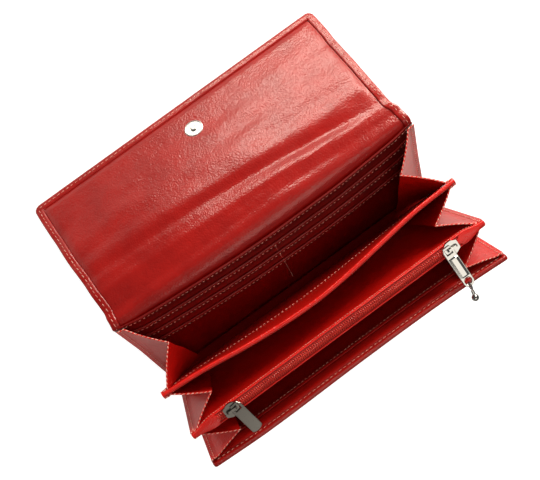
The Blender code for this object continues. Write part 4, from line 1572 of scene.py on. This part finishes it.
@dataclass
class Gusset:
    """A V-folded end gusset sewn between the faces of two panels by its flanges.

    Fold is how far from the middle its fold lies, and lean is the fold's share of the way from
    the back panel to the front one. Left spread moves the left one's fold out at its top.
    """

    number: int
    back: Panel
    back_depth: Callable[[float], float]
    back_top: float
    front: Panel
    front_depth: Callable[[float], float]
    front_top: float
    lean: float = 0.5
    left_spread: float = 0.0
    foot: float = 6.0
    flange: float = 4.0
    fold: float = 72.5
    leather: float = 0.75
    rim: float = 0.2
    rows: int = 16
    fold_column: int = 8

    def grid(self, side: int) -> list[list[Vector]]:
        """Return the gusset's rows of points, from its foot to its top.

        Args:
            side: -1 for the left or 1 for the right.

        Returns:
            The rows, each from the back flange to the front one.
        """
        made = []
        seam_x = INNER_HALF - self.flange
        for share in spread(0, 1, self.rows):
            high_b = self.foot + (self.back_top - self.foot) * share
            high_f = self.foot + (self.front_top - self.foot) * share
            flat_b, seam_b = (self.back.at(side * x, high_b, self.back_depth(high_b))
                              for x in (INNER_HALF, seam_x))
            flat_f, seam_f = (self.front.at(side * x, high_f, self.front_depth(high_f))
                              for x in (INNER_HALF, seam_x))
            middle = seam_b.lerp(seam_f, self.lean)
            fold = self.fold + (self.left_spread * share if side < 0 else 0.0)
            middle.x = side * (fold + 0.8 * ripple((share * 20, side * 9, self.number * 7), 6))
            swell = Vector((side * 0.9 * share, 0, 0))
            row = [flat_b, flat_b.lerp(seam_b, 0.5), seam_b]
            row += [seam_b.lerp(middle, k) + swell * (4 * k * (1 - k)) for k in (0.08, 0.3, 0.55, 0.8, 0.95)]
            row += [middle]
            row += [middle.lerp(seam_f, k) + swell * (4 * k * (1 - k)) for k in (0.05, 0.2, 0.45, 0.7, 0.92)]
            row += [seam_f, flat_f.lerp(seam_f, 0.5), flat_f]
            made.append(row)
        return made

    def build(self, carriers: tuple[Carrier, Carrier]) -> None:
        """Make both ends' gussets; two carriers that differ part the gusset at its fold.

        Args:
            carriers: how the back half and the front half move.
        """
        for side in Side:
            rows = self.grid(side.value)
            node = f"gusset_{self.number}_{side.label}"
            fold, last = self.fold_column, len(rows[0]) - 1
            if carriers[0] is carriers[1]:
                parts = [(node, 0, last, carriers[0])]
            else:
                parts = [(f"{node}_back_half", 0, fold, carriers[0]),
                         (f"{node}_front_half", fold, last, carriers[1])]
            for name, low, high, carrier in parts:
                form = bmesh.new()
                grid = [[form.verts.new(point) for point in row[low:high + 1]] for row in rows]
                for first, second in zip(grid, grid[1:]):
                    bridge(form, first, second)
                bmesh.ops.recalc_face_normals(form, faces=form.faces)
                thing = piece_from(form, f"{name}_leather", RED, carrier, [node])
                soften(thing, self.leather, self.rim)
                self.sew(rows, low, high, name, carrier)

    def sew(self, rows: list[list[Vector]], low: int, high: int, name: str, carrier: Carrier) -> None:
        """Sew the top hem and the flanges of one part of the gusset, from column low to column high.

        Args:
            rows: the gusset's rows of points.
            low: the part's first column.
            high: its last column.
            name: the part's name.
            carrier: how it moves.
        """
        top, under = rows[-1], rows[-2]
        path = [(top[i], (top[i] - under[i]).normalized()) for i in range(low, high + 1)]
        HEM_STITCH.sew(f"{name}_top_stitches", path, carrier)
        for label, column, keep, way in (("back", 1, low == 0, -self.back.normal()),
                                         ("front", len(top) - 2, high == len(top) - 1, self.front.normal())):
            if keep:
                path = [(row[column] + way * (self.leather / 2), way) for row in rows]
                FLANGE_STITCH.sew(f"{name}_flange_{label}_stitches", path, carrier)


def build_gussets(pocket: ZipPocket) -> None:
    """Make the three pairs of gussets: the first pair hangs on the divider, the second on the coin pocket and
    the third on no body.

    Args:
        pocket: the coin pocket, whose pinched ends the second and third pairs are sewn to.
    """
    ply = 0.55

    def pocket_face(height: float) -> float:
        """Return the depth of the gusset that lies on the coin pocket's wall."""
        return pocket.wall_at(height, 92) + ply

    first = Gusset(1, BACK, lambda h: -5.2 - ply, 90.0, DIVIDER, lambda h: 1.15 + ply, 85.0, left_spread=3.0)
    second = Gusset(2, DIVIDER, lambda h: -1.15 - ply, 85.0, POCKET, pocket_face, 87.0)
    third = Gusset(3, POCKET, lambda h: -pocket_face(h), 87.0, FRONT, lambda h: 2.8 + ply, 89.0, lean=0.7)
    on_divider = Folds("divider", "concertina", DIVIDER, keep=0.1, anchor_depth=1.4)
    on_pocket = Folds("zip_pocket", "concertina", POCKET, keep=0.1, anchor_depth=3.3)
    first.build((on_divider, on_divider))
    second.build((on_pocket, on_pocket))
    height = 60
    fold_y = POCKET.at(0, height, -3.0).lerp(FRONT.at(0, height, 2.8), third.lean).y
    third.build((
        Bends("base", "zip_pocket", (fold_y, height), (POCKET.at(0, height, -3.4).y, height)),
        Bends("base", "front_panel", (fold_y, height), (FRONT.at(0, height, 3.4).y, height)),
    ))


# Zip pull


@dataclass
class PullRidge:
    """The raised middle of the longer pull: a bright flat strip between two sloping facets."""

    across: float = 69.35
    height: float = 91.2
    rise: float = 1.5
    ends: Pair = (-4.0, -16.8)
    slope: float = 0.9
    base: float = 2.8
    crown: float = 1.3
    low: float = 0.36
    high: float = 0.85
    sunk: float = 0.3

    def at(self, u: float, v: float, n: float) -> Vector:
        """Return the place of a point of the pull.

        Args:
            u: how far across the pull.
            v: how far along it, negative towards the front.
            n: how far above it.

        Returns:
            The point.
        """
        tilt = radians(self.rise)
        rise, depth = n * cos(tilt) - v * sin(tilt), v * cos(tilt) + n * sin(tilt)
        return POCKET.at(self.across + u, self.height + rise, depth)

    def build(self) -> None:
        """Lay the ridge on the pull."""
        form = bmesh.new()
        first, last = self.ends
        rings = []
        for v, share in ((first, 0.0), (first - self.slope, 1.0), (last + self.slope, 1.0), (last, 0.0)):
            top = self.low + (self.high - self.low) * share
            flat = self.crown * share + self.base * 0.5 * (1 - share)
            section = ((-self.base, self.low - self.sunk), (-self.base, self.low), (-flat, top), (flat, top),
                       (self.base, self.low), (self.base, self.low - self.sunk))
            rings.append([form.verts.new(self.at(u, v, n)) for u, n in section])
        tube(form, rings)
        for face in form.faces:
            face.smooth = False
        bmesh.ops.recalc_face_normals(form, faces=form.faces)
        piece_from(form, "pull_b_ridge", BRIGHT, Rides("pull_b"))


# Plain nodes, room and camera


def dress_nodes() -> None:
    """Give every CAD node its slot's finish, for those that stay in sight."""
    # Nodes in the CAD's dark red leather take the copy of the hide with painted shade
    finishes = {
        "red_leather": RED, "dark_red_leather": SHADED_POCKET_RED, "red_pocket_cloth": CLOTH, "red_zip_tape": TAPE,
        "grey_board": BOARD, "bright_nickel": BRIGHT, "satin_nickel": SATIN,
    }
    for name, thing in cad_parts.items():
        materials = thing.data.materials
        current = materials[0].name.split(".")[0] if materials else ""
        materials.clear()
        materials.append(STUD if name.startswith("snap") else finishes.get(current, RED))


@dataclass(frozen=True)
class Lamp:
    """A softbox that looks at a target; its glow is its brightness, where 1 is white.

    A fill lamp only lights shade and has no reflection of its own.
    """

    name: str
    place: Triple
    size: Pair
    glow: float
    target: Triple
    fill: bool = True
    colour: str = "#FFF8EC"

    def hang(self) -> None:
        """Hang the lamp."""
        light = bpy.data.lights.new(self.name, "AREA")
        light.shape = "RECTANGLE"
        light.size, light.size_y = self.size[0] * MM, self.size[1] * MM
        light.energy = self.glow * pi * light.size * light.size_y
        light.color = linear(self.colour)[:3]
        thing = bpy.data.objects.new(self.name, light)
        thing.visible_glossy = not self.fill
        bpy.context.scene.collection.objects.link(thing)
        thing.location = Vector(self.place) * MM
        look = Vector(self.target) - Vector(self.place)
        thing.rotation_euler = look.to_track_quat("-Z", "Y").to_euler()


@dataclass
class Studio:
    """A white floor, soft lamps and the camera."""

    focal: float = 68.67
    sensor: float = 36.0
    nearest: float = 0.01
    place: Triple = (-24.43, 240.94, 575.59)
    turns: Triple = (70.76, -2.4, 36.1)
    air: str = "#F6F4F2"
    air_glow: float = 0.10
    floor_colour: str = "#C8C8C8"
    floor_roughness: float = 0.9
    floor_glow: float = 0.84
    floor_reach: float = 6.0
    floor_drop: float = 0.0002
    lamps: tuple[Lamp, ...] = (
        Lamp("rear_softbox", (225, 560, 50), (400, 90), 10.8, (40, 100, 30), fill=False),
        Lamp("right_softbox", (440, 340, 230), (260, 260), 17.0, (60, 30, 50), fill=False),
        Lamp("rear_left_fill", (-400, 420, 180), (260, 200), 3.5, (-30, 60, 40)),
        Lamp("left_fill", (-460, 60, 55), (260, 100), 5.0, (-60, 30, 40)),
        Lamp("top_fill", (0, 200, 660), (460, 260), 3.0, (0, 40, 40)),
        Lamp("front_fill", (-60, -560, 120), (400, 160), 6.0, (0, 0, 45)),
        Lamp("front_top_panel", (40, -110, 580), (400, 200), 1.2, (0, 0, 90), fill=False),
    )

    def build(self) -> None:
        """Set the camera, the lamps, the world and the floor."""
        scene = bpy.context.scene
        self.camera()
        for lamp in self.lamps:
            lamp.hang()
        scene.world = bpy.data.worlds.new("studio_air")
        scene.world.use_nodes = True
        tree = scene.world.node_tree
        feed(tree, tree.nodes["Background"], Color=linear(self.air), Strength=self.air_glow)
        self.floor()
        scene.view_settings.view_transform = "Standard"

    def camera(self) -> None:
        """Place the camera by the photograph's angles: pitch, yaw and roll."""
        rx, ry, rz = (radians(turn) for turn in self.turns)
        ahead = Vector((0, -cos(rx), -sin(rx)))
        down = Vector((0, -sin(rx), cos(rx)))
        right = Vector((1, 0, 0))
        turned = right * cos(ry) + ahead * sin(ry)
        look = ahead * cos(ry) - right * sin(ry)
        across = turned * cos(rz) + down * sin(rz)
        up = turned * sin(rz) - down * cos(rz)
        lens = bpy.data.cameras.new("photo_camera")
        lens.lens, lens.sensor_width, lens.clip_start = self.focal, self.sensor, self.nearest
        camera = bpy.data.objects.new("photo_camera", lens)
        bpy.context.scene.collection.objects.link(camera)
        turn = Matrix([[across[i], up[i], -look[i]] for i in range(3)]).to_4x4()
        camera.matrix_world = Matrix.Translation(Vector(self.place) * MM) @ turn
        bpy.context.scene.camera = camera

    def floor(self) -> None:
        """Lay a matt floor that keeps its shadows and shows as white to the camera."""
        mesh = bpy.data.meshes.new("white_floor")
        reach = self.floor_reach
        corners = [(-reach, -reach, 0), (reach, -reach, 0), (reach, reach, 0), (-reach, reach, 0)]
        mesh.from_pydata(corners, [], [(0, 1, 2, 3)])
        floor = bpy.data.objects.new("white_floor", mesh)
        bpy.context.scene.collection.objects.link(floor)
        floor.location.z = CAD_BOX[0].z - self.floor_drop
        made, tree, shader = blank("matt_white_floor")
        feed(tree, shader, Base_Color=linear(self.floor_colour), Roughness=self.floor_roughness,
             Specular_IOR_Level=0.0, Emission_Color=(self.floor_glow,) * 3 + (1.0,),
             Emission_Strength=add_node(tree, "LightPath").outputs["Is Camera Ray"])
        mesh.materials.append(made)


def main() -> None:
    """Build and dress the whole purse, then the room."""
    dress_nodes()
    pocket = ZipPocket()
    for part in (FlapAndCover(), CardPockets(), DividerLeaf(), pocket, FrontPanel(), PullRidge()):
        part.build()
    build_gussets(pocket)
    Studio().build()


if __name__ == "__main__":
    main()
